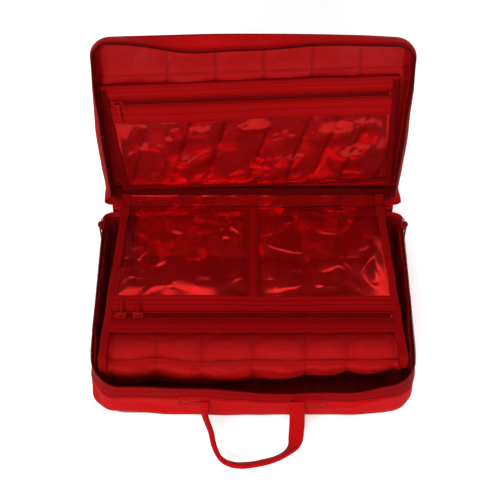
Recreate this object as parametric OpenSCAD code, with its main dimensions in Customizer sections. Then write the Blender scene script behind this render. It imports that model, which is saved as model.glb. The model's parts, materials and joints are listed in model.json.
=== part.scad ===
// Soft-sided clamshell organiser case, drawn with the lid standing open.
// Base tray with a quilted flap and a carry handle, lid with a zipped pocket,
// and a coil zip that runs round the front and the two sides.
// Millimetres. X to the right, Y to the back, Z up; origin at the middle of the
// underside, so the case stands on Z = 0 and the handle is at the -Y side.

/* [Case] */
// Width of the base and of the lid
case_w = 430; // [320:1:600]
// Depth from the front wall to the rear wall
case_d = 300; // [270:1:420]
// Height of the base, from the floor to the zip line
base_h = 75; // [66:1:130]
// Depth of the lid, from the zip line to its outer panel
lid_h = 40; // [38:1:70]
// Radius of the two front corners
front_r = 45; // [25:1:55]
// Radius of the two rear corners
rear_r = 12; // [8:1:24]
// Angle between the lid and the closed case
lid_open = 90; // [0:1:180]

/* [Cloth and boards] */
// Thickness of the coated outer cloth
fabric_t = 1.6; // [1.2:0.1:2.4]
// Thickness of the stiffening boards
board_t = 2.4; // [1.5:0.1:4]
// Thickness of the foam in the base wall
foam_t = 2.5; // [1.5:0.1:5]
// Thickness of the plain lining cloth
lining_t = 0.8; // [0.5:0.1:1.5]
// Thickness of bindings, bands and tabs
bind_t = 1.2; // [0.8:0.1:2]
// Thickness of the clear windows
window_t = 0.6; // [0.3:0.1:1]
// Room round a board or pad inside its wall
fit_gap = 0.5; // [0.3:0.1:2]
// Room between pieces that move past each other
move_gap = 0.4; // [0.3:0.1:1]

/* [Quilting] */
// Thickness of the quilted floor lining at its crowns
base_pad_t = 8; // [5:0.5:14]
// Thickness of the quilted lid lining at its crowns
lid_pad_t = 8; // [5:0.5:12]
// Distance from one stitched line to the next
quilt_pitch = 65; // [45:1:90]
// How far the stitched lines lie below the crowns
quilt_dip = 2.6; // [1:0.1:4]
// Distance of the linings' middle stitched line from the middle of the case
quilt_shift = 14; // [0:1:30]
// Least width of a cell at the edge of a pad
quilt_least = 6; // [3:0.5:12]

/* [Main zip] */
// Width of one row of the coil
coil_w = 2.6; // [2:0.1:4]
// Thickness of the coil
coil_t = 2.4; // [1.8:0.1:3]
// Gap between the two rows of the coil
zip_gap = 1.2; // [1.2:0.1:2]
// Thickness of the zip tape
tape_t = 0.8; // [0.5:0.1:1.2]
// Width of the main zip's tape that shows
tape_w = 10; // [6:0.5:14]
// Distance from the rear wall to the end of the zip
zip_end = 22; // [18:1:40]
// Length of a stop at the end of a coil
stop_l = 3; // [2:0.5:5]
// Gap that stays between base and lid along the hinge, half of it on each side
hinge_gap = 1.5; // [0.8:0.1:3]
// Length of a cloth tab that closes the end of the zip
tab_l = 14; // [10:1:18]
// Height of that tab below the zip line
tab_h = 30; // [20:1:40]
// Height of the cloth hinge on the rear wall, and its length along the lid
spine_l = 14; // [8:1:24]
// Distance from the end of the coil to a parked slider
park_gap = 3; // [1:0.5:8]
// Distance from the zip tape down to the foam and the linings
foam_drop = 2; // [1:0.5:6]

/* [Zip slider and pull] */
// Length of a slider
slider_l = 14; // [12:0.5:18]
// Thickness of the slider's two plates
plate_t = 1; // [0.8:0.1:1.6]
// Thickness of the lips that hold the coil
lip_t = 1; // [0.8:0.1:1.6]
// Room round the coil and the tape inside a slider
slider_gap = 0.4; // [0.3:0.05:0.8]
// Thickness of the web between the plates
web_t = 0.6; // [0.4:0.05:0.6]
// Length of that web
web_l = 4; // [2:0.5:6]
// Radius of the round bar that carries the pull
bar_r = 0.9; // [0.7:0.05:1.2]
// Thickness of the two posts that hold the bar
post_t = 1.6; // [1.2:0.1:2]
// Width of the posts across the zip
post_w = 3.6; // [2.6:0.1:5]
// Outer radius of the pull's eye
eye_r = 2.2; // [1.9:0.1:3]
// Running clearance of the eye on the bar
eye_gap = 0.05; // [0.02:0.01:0.08]
// Length of a pull from its pivot to the middle of its round end
pull_l = 30; // [20:1:40]
// Width of a pull
pull_w = 4.2; // [3.6:0.1:5]
// Thickness of a pull
pull_t = 1.6; // [1.2:0.1:2]

/* [Flap] */
// Thickness of the padded flap
flap_t = 10; // [7:0.5:14]
// Gap between the flap and the case's side at the hinge
flap_gap_rear = 27; // [16:1:60]
// Gap between the flap and the case's side at the flap's front edge
flap_gap_side = 13; // [10:1:60]
// Distance from the front of the case to the fold of the flap's front edge
flap_gap_front = 52; // [36:1:70]
// Width of the quilted row between the front band and the fold
flap_row = 36; // [20:1:60]
// Width of the band in front of the flap's zip
flap_low_band = 14; // [8:1:20]
// Width of the band behind the flap's zip
flap_up_band = 22; // [10:1:40]
// Distance that the flap's rear binding reaches forward of the hinge line's round
flap_lap = 1; // [0.5:0.5:4]
// Length of the hanging front edge, along the cloth
roll_l = 40; // [30:1:52]
// Radius of the fold of the front edge
roll_r = 16; // [12:1:22]
// Angle that the front edge hangs down
roll_bend = 72; // [40:1:90]
// Width of the bindings over the flap's sides
bind_w = 10; // [7:0.5:12]
// Width of the strip between the two windows
strip_w = 15; // [8:0.5:24]
// Width of the flap's hem at the hinge
flap_hem = 8; // [6:0.5:12]
// Visible width of the tape beside a pocket zip
pocket_tape = 6; // [4:0.5:9]
// Angle that a flap pull leans down on to the window
pull_lean = 6; // [5:0.5:7]
// Space between the middles of the two flap sliders
slider_step = 23; // [20:1:40]

/* [Lid pocket] */
// Gap between the pocket and the lid's side
pocket_side = 21; // [14:1:60]
// Distance from the rear wall to the pocket's lower edge
pocket_foot = 17; // [15:1:30]
// Distance from the pocket's upper edge to the lid's front wall
pocket_top = 71; // [40:1:100]
// Width of the band above the pocket's zip
pocket_up_band = 21; // [12:1:40]
// Width of the band below the pocket's zip
pocket_low_band = 31; // [10:1:50]
// How much higher the pocket's right end is than its left end
pocket_rise = 20; // [0:1:22]
// Width of the bindings round the pocket
hem_w = 8; // [6:0.5:10]

/* [Carry handle] */
// Width of the webbing
strap_w = 20; // [15:0.5:22]
// Thickness of the webbing
strap_t = 5; // [2:0.1:7]
// Height of the handle's pivots above the floor
handle_z = 50; // [46:1:52]
// Distance between the two ends of the handle
handle_span = 128; // [100:1:160]
// How far the lying loop reaches forward of its ends
handle_reach = 72; // [50:1:110]
// How far the lying loop drops below its ends
handle_drop = 38; // [30:1:39]
// Width of a sewn patch
patch_w = 40; // [30:1:50]
// Height of a sewn patch
patch_h = 19; // [15:0.5:22]
// Thickness of a sewn patch
patch_t = 1.6; // [1:0.1:2.5]

/* [Hidden] */
$fn = 48;

// Colours of the finishes
RED = [0.74, 0.04, 0.06];
DARK_RED = [0.5, 0.02, 0.04];
CLEAR = [0.95, 0.6, 0.6, 0.5];
BOARD = [0.3, 0.3, 0.3];
FOAM = [0.85, 0.85, 0.82];

// Across a zip: from its middle to the edge of the coil, and to the edge of the main tape
zip_half = zip_gap / 2 + coil_w;
tape_edge = zip_half + tape_w;
// Depth of the tape's middle inside the outer face of the wall
tape_mid = fabric_t / 2;
// Where the zip's coil ends, and where the plain rear wall begins
zip_end_y = case_d / 2 - zip_end;
wall_end_y = zip_end_y + stop_l;
// The cloth hinge folds about this line
hinge_y = case_d / 2 + fabric_t / 2;
hinge_z = base_h;

// Slider: outer faces of the plates, half its width, middle of the bar, length of the eye
plate_in = coil_t / 2 + slider_gap;
plate_out = plate_in + plate_t;
plate_y = zip_half + slider_gap + lip_t;
bar_z = plate_out + move_gap + eye_r;
eye_l = pull_w;
post_x = eye_l / 2 + move_gap;
// Room under a pocket's face for the lower half of its slider
slider_room = tape_t / 2 + plate_out + move_gap;

// Inner face of the base wall, of the lid wall, and the outlines of what lies in them
base_in = fabric_t + foam_t + lining_t;
lid_in = fabric_t + lining_t;
foam_top = base_h - tape_edge - foam_drop;
floor_z = fabric_t + board_t;

// Flap: hinge line, and the height of its pocket's face above that line
flap_y = case_d / 2 - fabric_t - bind_t - move_gap - flap_t / 2;
flap_z = base_h - flap_t / 2;
flap_face = flap_t / 2 + slider_room;
flap_back = flap_t / 2 + flap_lap;
flap_rear_w = case_w - 2 * flap_gap_rear;
flap_front_w = case_w - 2 * flap_gap_side;
// Distances from the flap's hinge to its fold, front band, zip and windows
flap_len = flap_y + case_d / 2 - flap_gap_front;
flap_band = flap_len - flap_row;
flap_zip = flap_band - flap_low_band - pocket_tape - zip_half;
flap_window = flap_zip - zip_half - pocket_tape - flap_up_band;
function flap_half(y) = flap_rear_w / 2 - (flap_front_w - flap_rear_w) / 2 * y / flap_len;
flap_coil = flap_half(zip_half - flap_zip) - bind_w - move_gap - stop_l;
flap_slider_x = -flap_coil + move_gap + slider_l / 2;

// Lid pocket: its size, slope and middle, the height of its face in the closed case, and the places along it
pocket_w = case_w - 2 * pocket_side;
pocket_h = case_d - pocket_foot - pocket_top;
pocket_tilt = asin(pocket_rise / pocket_w);
pocket_mid = case_d / 2 - pocket_foot - pocket_h / 2;
pocket_z = base_h + lid_h - fabric_t - board_t - lid_pad_t - lining_t - slider_room;
pocket_zip_y = pocket_h / 2 - pocket_up_band - pocket_tape - zip_half;
pocket_window_y = pocket_zip_y - zip_half - pocket_tape - pocket_low_band;
pocket_coil = pocket_w / 2 - hem_w - move_gap - stop_l;
pocket_slider_x = -pocket_coil + move_gap + slider_l / 2;

// Main sliders: where they are parked
main_slider_y = zip_end_y - slider_l / 2 - park_gap;

// Handle: hinge line, and the lying loop chosen by hand: shares of its span, reach and drop, and its turn
handle_y = -case_d / 2 - patch_t - move_gap - strap_t / 2;
handle_path = [
    [0, 0, 0], [0, -0.2, -0.25], [0.08, -0.47, -0.6], [0.21, -0.77, -0.88], [0.42, -1, -1],
    [0.67, -0.97, -1], [0.89, -0.75, -0.88], [1, -0.44, -0.6], [1, -0.2, -0.25], [1, 0, 0]
];
handle_turn = [0, 20, 75, 90, 90, 90, 70, 22, 0, 0];

// Outline of the case in plan, drawn in by an inset
module outline(inset) {
    w = case_w / 2 - inset;
    d = case_d / 2 - inset;
    f = front_r - inset;
    r = rear_r - inset;
    polygon([
        [-w, f - d], [f - w, -d], [w - f, -d], [w, f - d],
        [w, d - r], [w - r, d], [r - w, d], [-w, d - r]
    ]);
    for (s = [-1, 1]) {
        translate([s * (w - f), f - d]) circle(r = f);
        translate([s * (w - r), d - r]) circle(r = r);
    }
}

// Upright wall between two insets
module ring(outer, inner, h) {
    linear_extrude(h) difference() {
        outline(outer);
        outline(inner);
    }
}

// The part of that wall in front of a line across the case
module front_run(outer, inner, h, end_y) {
    intersection() {
        ring(outer, inner, h);
        translate([-case_w, -case_d, -1]) cube([2 * case_w, case_d + end_y, h + 2]);
    }
}

// The part of that wall behind a line across the case
module rear_run(outer, inner, h, start_y) {
    intersection() {
        ring(outer, inner, h);
        translate([-case_w, start_y, -1]) cube([2 * case_w, case_d, h + 2]);
    }
}

// Turns what is drawn for the closed lid to where the lid stands
module open_lid() {
    translate([0, hinge_y, hinge_z]) rotate([-lid_open, 0, 0]) translate([0, -hinge_y, -hinge_z]) children();
}

// Face of the lid pocket: X along its zip, Y away from the hinge, Z out of the lid
module pocket_frame() {
    open_lid()
        translate([0, pocket_mid, pocket_z])
            rotate([180, 0, -pocket_tilt])
                children();
}

// Face of the flap's pockets: X along its zip, Y towards the hinge, Z up
module flap_frame() {
    translate([0, flap_y, flap_z + flap_face]) children();
}

// Middle of the tape where a main slider is parked, with X along the zip and Z out of the wall
module main_frame(s) {
    translate([s * (case_w / 2 - tape_mid), main_slider_y, hinge_z]) rotate([90, 0, s * 90]) children();
}

// Box between two corners
module box(a, b) {
    translate(a) cube(b - a);
}

// Sample places across a row of quilted cells, as pairs of place and swell
function cell_edges(lo, hi, pitch, at) =
    let (first = ceil((lo + quilt_least - at) / pitch), last = floor((hi - quilt_least - at) / pitch))
    [lo, for (k = [first : last]) at + k * pitch, hi];
cell_steps = [[0, 0], [0.14, 0.74], [0.38, 1], [0.62, 1], [0.86, 0.74]];
function cells(e) = [
    for (k = [0 : len(e) - 2]) for (c = cell_steps) [e[k] + c[0] * (e[k + 1] - e[k]), c[1]],
    [e[len(e) - 1], 0]
];

// Round of a grid with m columns and n rows, as indices in order
function grid_round(m, n) = [
    for (i = [0 : m - 1]) i,
    for (j = [1 : n - 1]) j * m + m - 1,
    for (i = [m - 2 : -1 : 0]) (n - 1) * m + i,
    for (j = [n - 2 : -1 : 1]) j * m
];

// Quilted pad on a flat underside at Z = 0; half gives its half width at each Y
module quilt(xs, ys, half, t, dip) {
    m = len(xs);
    n = len(ys);
    wide = xs[m - 1][0];
    top = [for (q = ys) for (p = xs) [p[0] * half(q[0]) / wide, q[0], t - dip + dip * p[1] * q[1]]];
    edge = grid_round(m, n);
    k = len(edge);
    low = [for (e = edge) [top[e][0], top[e][1], 0]];
    mid = [[0, (ys[0][0] + ys[n - 1][0]) / 2, 0]];
    polyhedron(concat(top, low, mid), concat(
        [for (j = [0 : n - 2]) for (i = [0 : m - 2]) [j * m + i, (j + 1) * m + i, (j + 1) * m + i + 1]],
        [for (j = [0 : n - 2]) for (i = [0 : m - 2]) [j * m + i, (j + 1) * m + i + 1, j * m + i + 1]],
        [for (i = [0 : k - 1]) [edge[i], edge[(i + 1) % k], m * n + (i + 1) % k]],
        [for (i = [0 : k - 1]) [edge[i], m * n + (i + 1) % k, m * n + i]],
        [for (i = [0 : k - 1]) [m * n + i, m * n + (i + 1) % k, m * n + k]]
    ));
}

// Half width of the case's outline at an inset, for the pads
function case_half(inset) = function(y)
    let (f = front_r - inset, r = rear_r - inset, d = case_d / 2 - inset, w = case_w / 2 - inset)
    y < f - d ? w - f + sqrt(max(0, f * f - pow(f - d - y, 2))) :
    y > d - r ? w - r + sqrt(max(0, r * r - pow(y - d + r, 2))) : w;

// Rows of a pad that fills the case's outline: front corners, four rows of cells, rear corners
function case_rows(inset) =
    let (d = case_d / 2 - inset, f = front_r - inset, r = rear_r - inset)
    concat(
        cells([-d, for (k = [0 : 4]) f - d + k * (2 * d - f - r) / 4]),
        [[d - 0.3 * r, 0], [d, 0]]
    );

module case_pad(inset, t) {
    wide = case_w / 2 - inset;
    columns = cells(cell_edges(-wide, wide, quilt_pitch, quilt_shift));
    quilt(columns, case_rows(inset), case_half(inset), t, quilt_dip);
}

// Coil of a straight zip, two rows, from -half to half
module zip_coil(half) {
    for (s = [-1, 1]) {
        translate([-half, s > 0 ? zip_gap / 2 : -zip_half, -coil_t / 2]) cube([2 * half, coil_w, coil_t]);
    }
}

// Tapes beside that coil
module zip_tape(half, w) {
    for (s = [-1, 1]) {
        translate([-half, s > 0 ? zip_half : -zip_half - w, -tape_t / 2]) cube([2 * half, w, tape_t]);
    }
}

// Stops at both ends of that coil
module zip_stops(half) {
    for (s = [-1, 1]) {
        translate([s > 0 ? half : -half - stop_l, -zip_half, -coil_t / 2]) cube([stop_l, 2 * zip_half, coil_t]);
    }
}

// Slider on a tape at Z = 0, running along X, with its bar above it
module slider() {
    for (s = [0, 1]) mirror([0, 0, s]) {
        box([-slider_l / 2, -plate_y, plate_in], [slider_l / 2, plate_y, plate_out]);
        for (t = [0, 1]) mirror([0, t, 0])
            box([-slider_l / 2, plate_y - lip_t, tape_t / 2 + slider_gap], [slider_l / 2, plate_y, plate_out]);
    }
    box([-slider_l / 2, -web_t / 2, -plate_out], [web_l - slider_l / 2, web_t / 2, plate_out]);
    for (s = [0, 1]) mirror([s, 0, 0])
        box([post_x, -post_w / 2, plate_in], [post_x + post_t, post_w / 2, bar_z + bar_r]);
    translate([-post_x - post_t / 2, 0, bar_z]) rotate([0, 90, 0]) cylinder(r = bar_r, h = 2 * post_x + post_t);
}

// Pull on that bar, pointing along Y before it is turned about the bar
module pull(turn) {
    translate([0, 0, bar_z]) rotate([turn, 0, 0]) difference() {
        union() {
            translate([-eye_l / 2, 0, 0]) rotate([0, 90, 0]) cylinder(r = eye_r, h = eye_l);
            box([-pull_w / 2, 0, -pull_t / 2], [pull_w / 2, pull_l, pull_t / 2]);
            translate([0, pull_l, -pull_t / 2]) cylinder(r = pull_w / 2, h = pull_t);
        }
        translate([-eye_l, 0, 0]) rotate([0, 90, 0]) cylinder(r = bar_r + eye_gap, h = 2 * eye_l);
    }
}

// Strip along the flap's right side, between two distances from its edge
module flap_side(y0, y1, from, to, h) {
    linear_extrude(h) polygon([
        [flap_half(y0) + from, y0], [flap_half(y0) + to, y0],
        [flap_half(y1) + to, y1], [flap_half(y1) + from, y1]
    ]);
}

// Binding folded round the flap's right side
module flap_binding() {
    h = flap_t + slider_room + 2 * bind_t;
    translate([0, 0, -flap_t - slider_room - bind_t]) flap_side(-flap_len, -flap_back, 0, bind_t, h);
    flap_side(-flap_len, -flap_back, -bind_w, 0, bind_t);
    translate([0, 0, -flap_t - slider_room - bind_t]) flap_side(-flap_len, -flap_back, -bind_w, 0, bind_t);
}

// Clear window on the flap's right half
module flap_window() {
    translate([0, 0, -window_t]) linear_extrude(window_t) polygon([
        [strip_w / 2, -flap_back], [flap_half(-flap_back), -flap_back],
        [flap_half(-flap_window), -flap_window], [strip_w / 2, -flap_window]
    ]);
}

// Cloth band across the flap between two distances from its hinge
module flap_band_sheet(near, far) {
    translate([0, 0, -bind_t]) linear_extrude(bind_t) polygon([
        [-flap_half(-near), -near], [flap_half(-near), -near], [flap_half(-far), -far], [-flap_half(-far), -far]
    ]);
}

// Hanging front edge: middle line and lean at a length s along the cloth
function roll_turn(s) = min(roll_bend, s / roll_r * 180 / PI);
function roll_at(s) =
    let (a = roll_turn(s), rest = max(0, s - roll_r * roll_bend * PI / 180))
    [-roll_r * sin(a) - rest * cos(a), -roll_r * (1 - cos(a)) - rest * sin(a)];

module roll(xs, ss) {
    m = len(xs);
    n = len(ss);
    function skin(p, q, h) =
        let (a = roll_turn(q[0]), c = roll_at(q[0]))
        [p[0], c[0] - sin(a) * h, c[1] + cos(a) * h];
    outer = [for (q = ss) for (p = xs) skin(p, q, flap_t / 2 - quilt_dip + quilt_dip * p[1] * q[1])];
    inner = [for (q = ss) for (p = xs) skin(p, q, -flap_t / 2)];
    edge = grid_round(m, n);
    k = len(edge);
    g = m * n;
    polyhedron(concat(outer, inner), concat(
        [for (j = [0 : n - 2]) for (i = [0 : m - 2]) [j * m + i, (j + 1) * m + i + 1, (j + 1) * m + i]],
        [for (j = [0 : n - 2]) for (i = [0 : m - 2]) [j * m + i, j * m + i + 1, (j + 1) * m + i + 1]],
        [for (j = [0 : n - 2]) for (i = [0 : m - 2]) let (b = g + j * m + i) [b, b + m, b + m + 1]],
        [for (j = [0 : n - 2]) for (i = [0 : m - 2]) let (b = g + j * m + i) [b, b + m + 1, b + 1]],
        [for (i = [0 : k - 1]) [edge[i], g + edge[(i + 1) % k], edge[(i + 1) % k]]],
        [for (i = [0 : k - 1]) [edge[i], g + edge[i], g + edge[(i + 1) % k]]]
    ));
}

// Smooth curve through a list of points or numbers, at a place t counted in steps of the list
function knot(list, i) = list[max(0, min(len(list) - 1, i))];
function along(list, t) =
    let (i = min(len(list) - 2, floor(t)), u = t - i)
    let (a = knot(list, i - 1), b = knot(list, i), c = knot(list, i + 1), d = knot(list, i + 2))
    b + u / 2 * ((c - a) + u * ((2 * a - 5 * b + 4 * c - d) + u * (3 * b - a - 3 * c + d)));
function unit(v) = v / norm(v);

// Flat webbing along a path; turn 0 lays its width along X, 90 sets it on edge
module webbing(path, turn, w, t, steps) {
    last = (len(path) - 1) * steps;
    corner = t * 0.3;
    section = [
        for (s = [[1, 1], [-1, 1], [-1, -1], [1, -1]])
            for (c = s[0] * s[1] > 0 ? [[0, 1], [1, 0]] : [[1, 0], [0, 1]])
                [s[0] * (w / 2 - corner * c[0]), s[1] * (t / 2 - corner * c[1])]
    ];
    n = len(section);
    function ring_at(i) =
        let (p = along(path, i / steps), a = along(turn, i / steps))
        let (e = 0.01, f = along(path, min(last, i + e) / steps) - along(path, max(0, i - e) / steps))
        let (dir = unit(f), want = [cos(a), 0, sin(a)])
        let (side = unit(want - dir * (want * dir)), up = cross(dir, side))
        [for (q = section) p + side * q[0] + up * q[1]];
    points = [for (i = [0 : last]) each ring_at(i)];
    polyhedron(points, concat(
        [for (i = [0 : last - 1]) for (k = [0 : n - 1]) let (b = i * n, j = (k + 1) % n) [b + k, b + n + j, b + j]],
        [for (i = [0 : last - 1]) for (k = [0 : n - 1]) let (b = i * n, j = (k + 1) % n) [b + k, b + n + k, b + n + j]],
        [[for (k = [0 : n - 1]) k]],
        [[for (k = [n - 1 : -1 : 0]) last * n + k]]
    ));
}

// Bottom cloth of the base
module base_panel() {
    color(RED) linear_extrude(fabric_t) outline(0);
}

// Standing cloth of the base, up to the zip tape, and up to the hinge at the rear
module base_wall() {
    color(RED) {
        translate([0, 0, fabric_t]) ring(0, fabric_t, base_h - tape_edge - fabric_t);
        translate([0, 0, base_h - tape_edge]) rear_run(0, fabric_t, tape_edge - hinge_gap, wall_end_y);
    }
}

// Foam that keeps the base wall upright
module base_wall_foam() {
    color(FOAM) translate([0, 0, fabric_t]) ring(fabric_t, fabric_t + foam_t, foam_top - fabric_t);
}

// Lining over that foam
module base_wall_lining() {
    color(DARK_RED) translate([0, 0, fabric_t]) ring(fabric_t + foam_t, base_in, foam_top - fabric_t);
}

// Stiffening board on the bottom
module base_board() {
    color(BOARD) translate([0, 0, fabric_t]) linear_extrude(board_t) outline(base_in + fit_gap);
}

// Quilted floor lining
module base_lining() {
    color(DARK_RED) translate([0, 0, floor_z]) case_pad(base_in + fit_gap, base_pad_t);
}

// Lower half of the main zip
module base_zip_tape() {
    color(DARK_RED) translate([0, 0, base_h - tape_edge])
        front_run(tape_mid - tape_t / 2, tape_mid + tape_t / 2, tape_w, wall_end_y);
}

module base_zip_coil() {
    color(DARK_RED) translate([0, 0, base_h - zip_half])
        front_run(tape_mid - coil_t / 2, tape_mid + coil_t / 2, coil_w, zip_end_y);
}

module base_zip_stops() {
    color(DARK_RED) for (s = [0, 1]) mirror([s, 0, 0])
        box(
            [case_w / 2 - tape_mid - coil_t / 2, zip_end_y, base_h - zip_half],
            [case_w / 2 - tape_mid + coil_t / 2, wall_end_y, base_h - zip_gap / 2]
        );
}

// Cloth tabs sewn on the wall where the zip ends
module zip_end_tabs() {
    color(RED) for (s = [0, 1]) mirror([s, 0, 0])
        box(
            [case_w / 2, wall_end_y, base_h - tab_h],
            [case_w / 2 + bind_t, min(wall_end_y + tab_l, case_d / 2 - rear_r), base_h - hinge_gap]
        );
}

// Cloth hinge: up the rear wall, round the fold and along the lid's wall
module spine_cloth() {
    half = case_w / 2 - rear_r;
    lid_l = spine_l - fabric_t;
    color(RED) {
        box([-half, case_d / 2, hinge_z - spine_l], [half, case_d / 2 + fabric_t, hinge_z]);
        translate([-half, hinge_y, hinge_z]) rotate([0, 90, 0]) cylinder(r = fabric_t / 2 - 0.1, h = 2 * half);
        translate([0, hinge_y, hinge_z]) rotate([90 - lid_open, 0, 0])
            box([-half, 0, -fabric_t / 2], [half, lid_l, fabric_t / 2 - 0.1]);
    }
}

// Tape on the rear wall that carries the flap
module flap_anchor_tape() {
    color(DARK_RED) box(
        [-flap_half(0), case_d / 2 - fabric_t - bind_t, base_h - tape_edge],
        [flap_half(0), case_d / 2 - fabric_t, base_h - 2 * hinge_gap]
    );
}

// Patches that hold the handle on the front wall
module handle_patch_left() {
    color(RED) box(
        [-handle_span / 2 - patch_w + strap_w / 2, -case_d / 2 - patch_t, handle_z - patch_h / 2],
        [-handle_span / 2 + strap_w / 2, -case_d / 2, handle_z + patch_h / 2]
    );
}

module handle_patch_right() {
    color(RED) box(
        [handle_span / 2 - strap_w / 2, -case_d / 2 - patch_t, handle_z - patch_h / 2],
        [handle_span / 2 + patch_w - strap_w / 2, -case_d / 2, handle_z + patch_h / 2]
    );
}

// Webbing of the carry handle, lying forward
module handle_strap() {
    path = [for (p = handle_path) [p[0] * handle_span, p[1] * handle_reach, p[2] * handle_drop]];
    color(RED) translate([-handle_span / 2, handle_y, handle_z])
        webbing(path, handle_turn, strap_w, strap_t, 4);
}

// Outer cloth of the lid
module lid_panel() {
    color(RED) open_lid() translate([0, 0, base_h + lid_h - fabric_t]) linear_extrude(fabric_t) outline(0);
}

module lid_wall() {
    color(RED) open_lid() {
        translate([0, 0, base_h + tape_edge]) ring(0, fabric_t, lid_h - tape_edge - fabric_t);
        translate([0, 0, base_h + hinge_gap]) rear_run(0, fabric_t, tape_edge - hinge_gap, wall_end_y);
    }
}

module lid_wall_lining() {
    color(DARK_RED) open_lid() translate([0, 0, base_h + tape_edge + foam_drop])
        ring(fabric_t, lid_in, lid_h - tape_edge - foam_drop - fabric_t);
}

// Stiffening board of the lid
module lid_board() {
    color(BOARD) open_lid() translate([0, 0, base_h + lid_h - fabric_t - board_t])
        linear_extrude(board_t) outline(lid_in + fit_gap);
}

// Quilted lining of the lid
module lid_lining() {
    color(DARK_RED) open_lid() translate([0, 0, base_h + lid_h - fabric_t - board_t])
        mirror([0, 0, 1]) case_pad(lid_in + fit_gap, lid_pad_t);
}

// Upper half of the main zip
module lid_zip_tape() {
    color(DARK_RED) open_lid() translate([0, 0, base_h + zip_half])
        front_run(tape_mid - tape_t / 2, tape_mid + tape_t / 2, tape_w, wall_end_y);
}

module lid_zip_coil() {
    color(DARK_RED) open_lid() translate([0, 0, base_h + zip_gap / 2])
        front_run(tape_mid - coil_t / 2, tape_mid + coil_t / 2, coil_w, zip_end_y);
}

module lid_zip_stops() {
    color(DARK_RED) open_lid() for (s = [0, 1]) mirror([s, 0, 0])
        box(
            [case_w / 2 - tape_mid - coil_t / 2, zip_end_y, base_h + zip_gap / 2],
            [case_w / 2 - tape_mid + coil_t / 2, wall_end_y, base_h + zip_half]
        );
}

// Back sheet of the lid pocket, on the crowns of the lining
module lid_pocket_back() {
    color(RED) pocket_frame()
        box(
            [-pocket_w / 2, -pocket_h / 2, -slider_room - lining_t],
            [pocket_w / 2, pocket_h / 2, -slider_room]
        );
}

// Binding along the pocket's upper edge
module lid_pocket_hem() {
    color(RED) pocket_frame() {
        box([-pocket_w / 2 - bind_t, pocket_h / 2 - hem_w, 0], [pocket_w / 2 + bind_t, pocket_h / 2, bind_t]);
        box(
            [-pocket_w / 2 - bind_t, pocket_h / 2, -slider_room - lining_t],
            [pocket_w / 2 + bind_t, pocket_h / 2 + bind_t, bind_t]
        );
    }
}

// Binding along its lower edge
module lid_pocket_foot() {
    color(RED) pocket_frame() mirror([0, 1, 0]) {
        box([-pocket_w / 2 - bind_t, pocket_h / 2 - hem_w, 0], [pocket_w / 2 + bind_t, pocket_h / 2, bind_t]);
        box(
            [-pocket_w / 2 - bind_t, pocket_h / 2, -slider_room - lining_t],
            [pocket_w / 2 + bind_t, pocket_h / 2 + bind_t, bind_t]
        );
    }
}

// Binding along its right side
module pocket_binding() {
    y = pocket_h / 2 - hem_w;
    box([pocket_w / 2 - hem_w, -y, 0], [pocket_w / 2, y, bind_t]);
    box([pocket_w / 2, -pocket_h / 2, -slider_room - lining_t], [pocket_w / 2 + bind_t, pocket_h / 2, 0]);
    box([pocket_w / 2, -y, 0], [pocket_w / 2 + bind_t, y, bind_t]);
}

module lid_pocket_binding_left() {
    color(RED) pocket_frame() mirror([1, 0, 0]) pocket_binding();
}

module lid_pocket_binding_right() {
    color(RED) pocket_frame() pocket_binding();
}

module lid_pocket_band_upper() {
    color(RED) pocket_frame()
        box([-pocket_w / 2, pocket_zip_y + zip_half + pocket_tape, -bind_t], [pocket_w / 2, pocket_h / 2, 0]);
}

module lid_pocket_band_lower() {
    color(RED) pocket_frame()
        box(
            [-pocket_w / 2, pocket_window_y, -bind_t],
            [pocket_w / 2, pocket_zip_y - zip_half - pocket_tape, 0]
        );
}

module lid_pocket_window() {
    color(CLEAR) pocket_frame()
        box([-pocket_w / 2, -pocket_h / 2, -window_t], [pocket_w / 2, pocket_window_y, 0]);
}

module lid_pocket_zip_tape() {
    color(DARK_RED) pocket_frame() translate([0, pocket_zip_y, -tape_t / 2])
        zip_tape(pocket_w / 2, pocket_tape);
}

module lid_pocket_zip_coil() {
    color(DARK_RED) pocket_frame() translate([0, pocket_zip_y, -tape_t / 2]) zip_coil(pocket_coil);
}

module lid_pocket_zip_stops() {
    color(DARK_RED) pocket_frame() translate([0, pocket_zip_y, -tape_t / 2]) zip_stops(pocket_coil);
}

module lid_pocket_slider() {
    color(DARK_RED) pocket_frame() translate([pocket_slider_x, pocket_zip_y, -tape_t / 2]) slider();
}

module lid_pocket_pull() {
    color(DARK_RED) pocket_frame() translate([pocket_slider_x, pocket_zip_y, -tape_t / 2]) pull(180);
}

// Padded body of the flap
module flap_pad() {
    rows = cells(cell_edges(-flap_len, -flap_back, quilt_pitch * 0.75, -flap_len));
    wide = flap_half(-flap_len);
    columns = cells(cell_edges(-wide, wide, quilt_pitch, 0));
    color(RED) translate([0, flap_y, flap_z - flap_t / 2])
        quilt(columns, rows, function(y) flap_half(y), flap_t, quilt_dip);
}

// Its front edge, which hangs into the base
module flap_front_roll() {
    wide = flap_half(-flap_len) - bind_w / 2;
    color(RED) translate([0, flap_y - flap_len, flap_z])
        roll(cells(cell_edges(-wide, wide, quilt_pitch, 0)), cells([0, roll_l]));
}

// Binding round its rear edge, on the line that it turns about
module flap_rear_binding() {
    half = flap_half(0);
    color(RED) translate([0, flap_y, flap_z]) {
        translate([-half, 0, 0]) rotate([0, 90, 0]) cylinder(r = flap_t / 2, h = 2 * half);
        box([-half, -flap_back, -flap_t / 2], [half, 0, flap_t / 2]);
    }
}

module flap_binding_left() {
    color(RED) flap_frame() mirror([1, 0, 0]) flap_binding();
}

module flap_binding_right() {
    color(RED) flap_frame() flap_binding();
}

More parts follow.
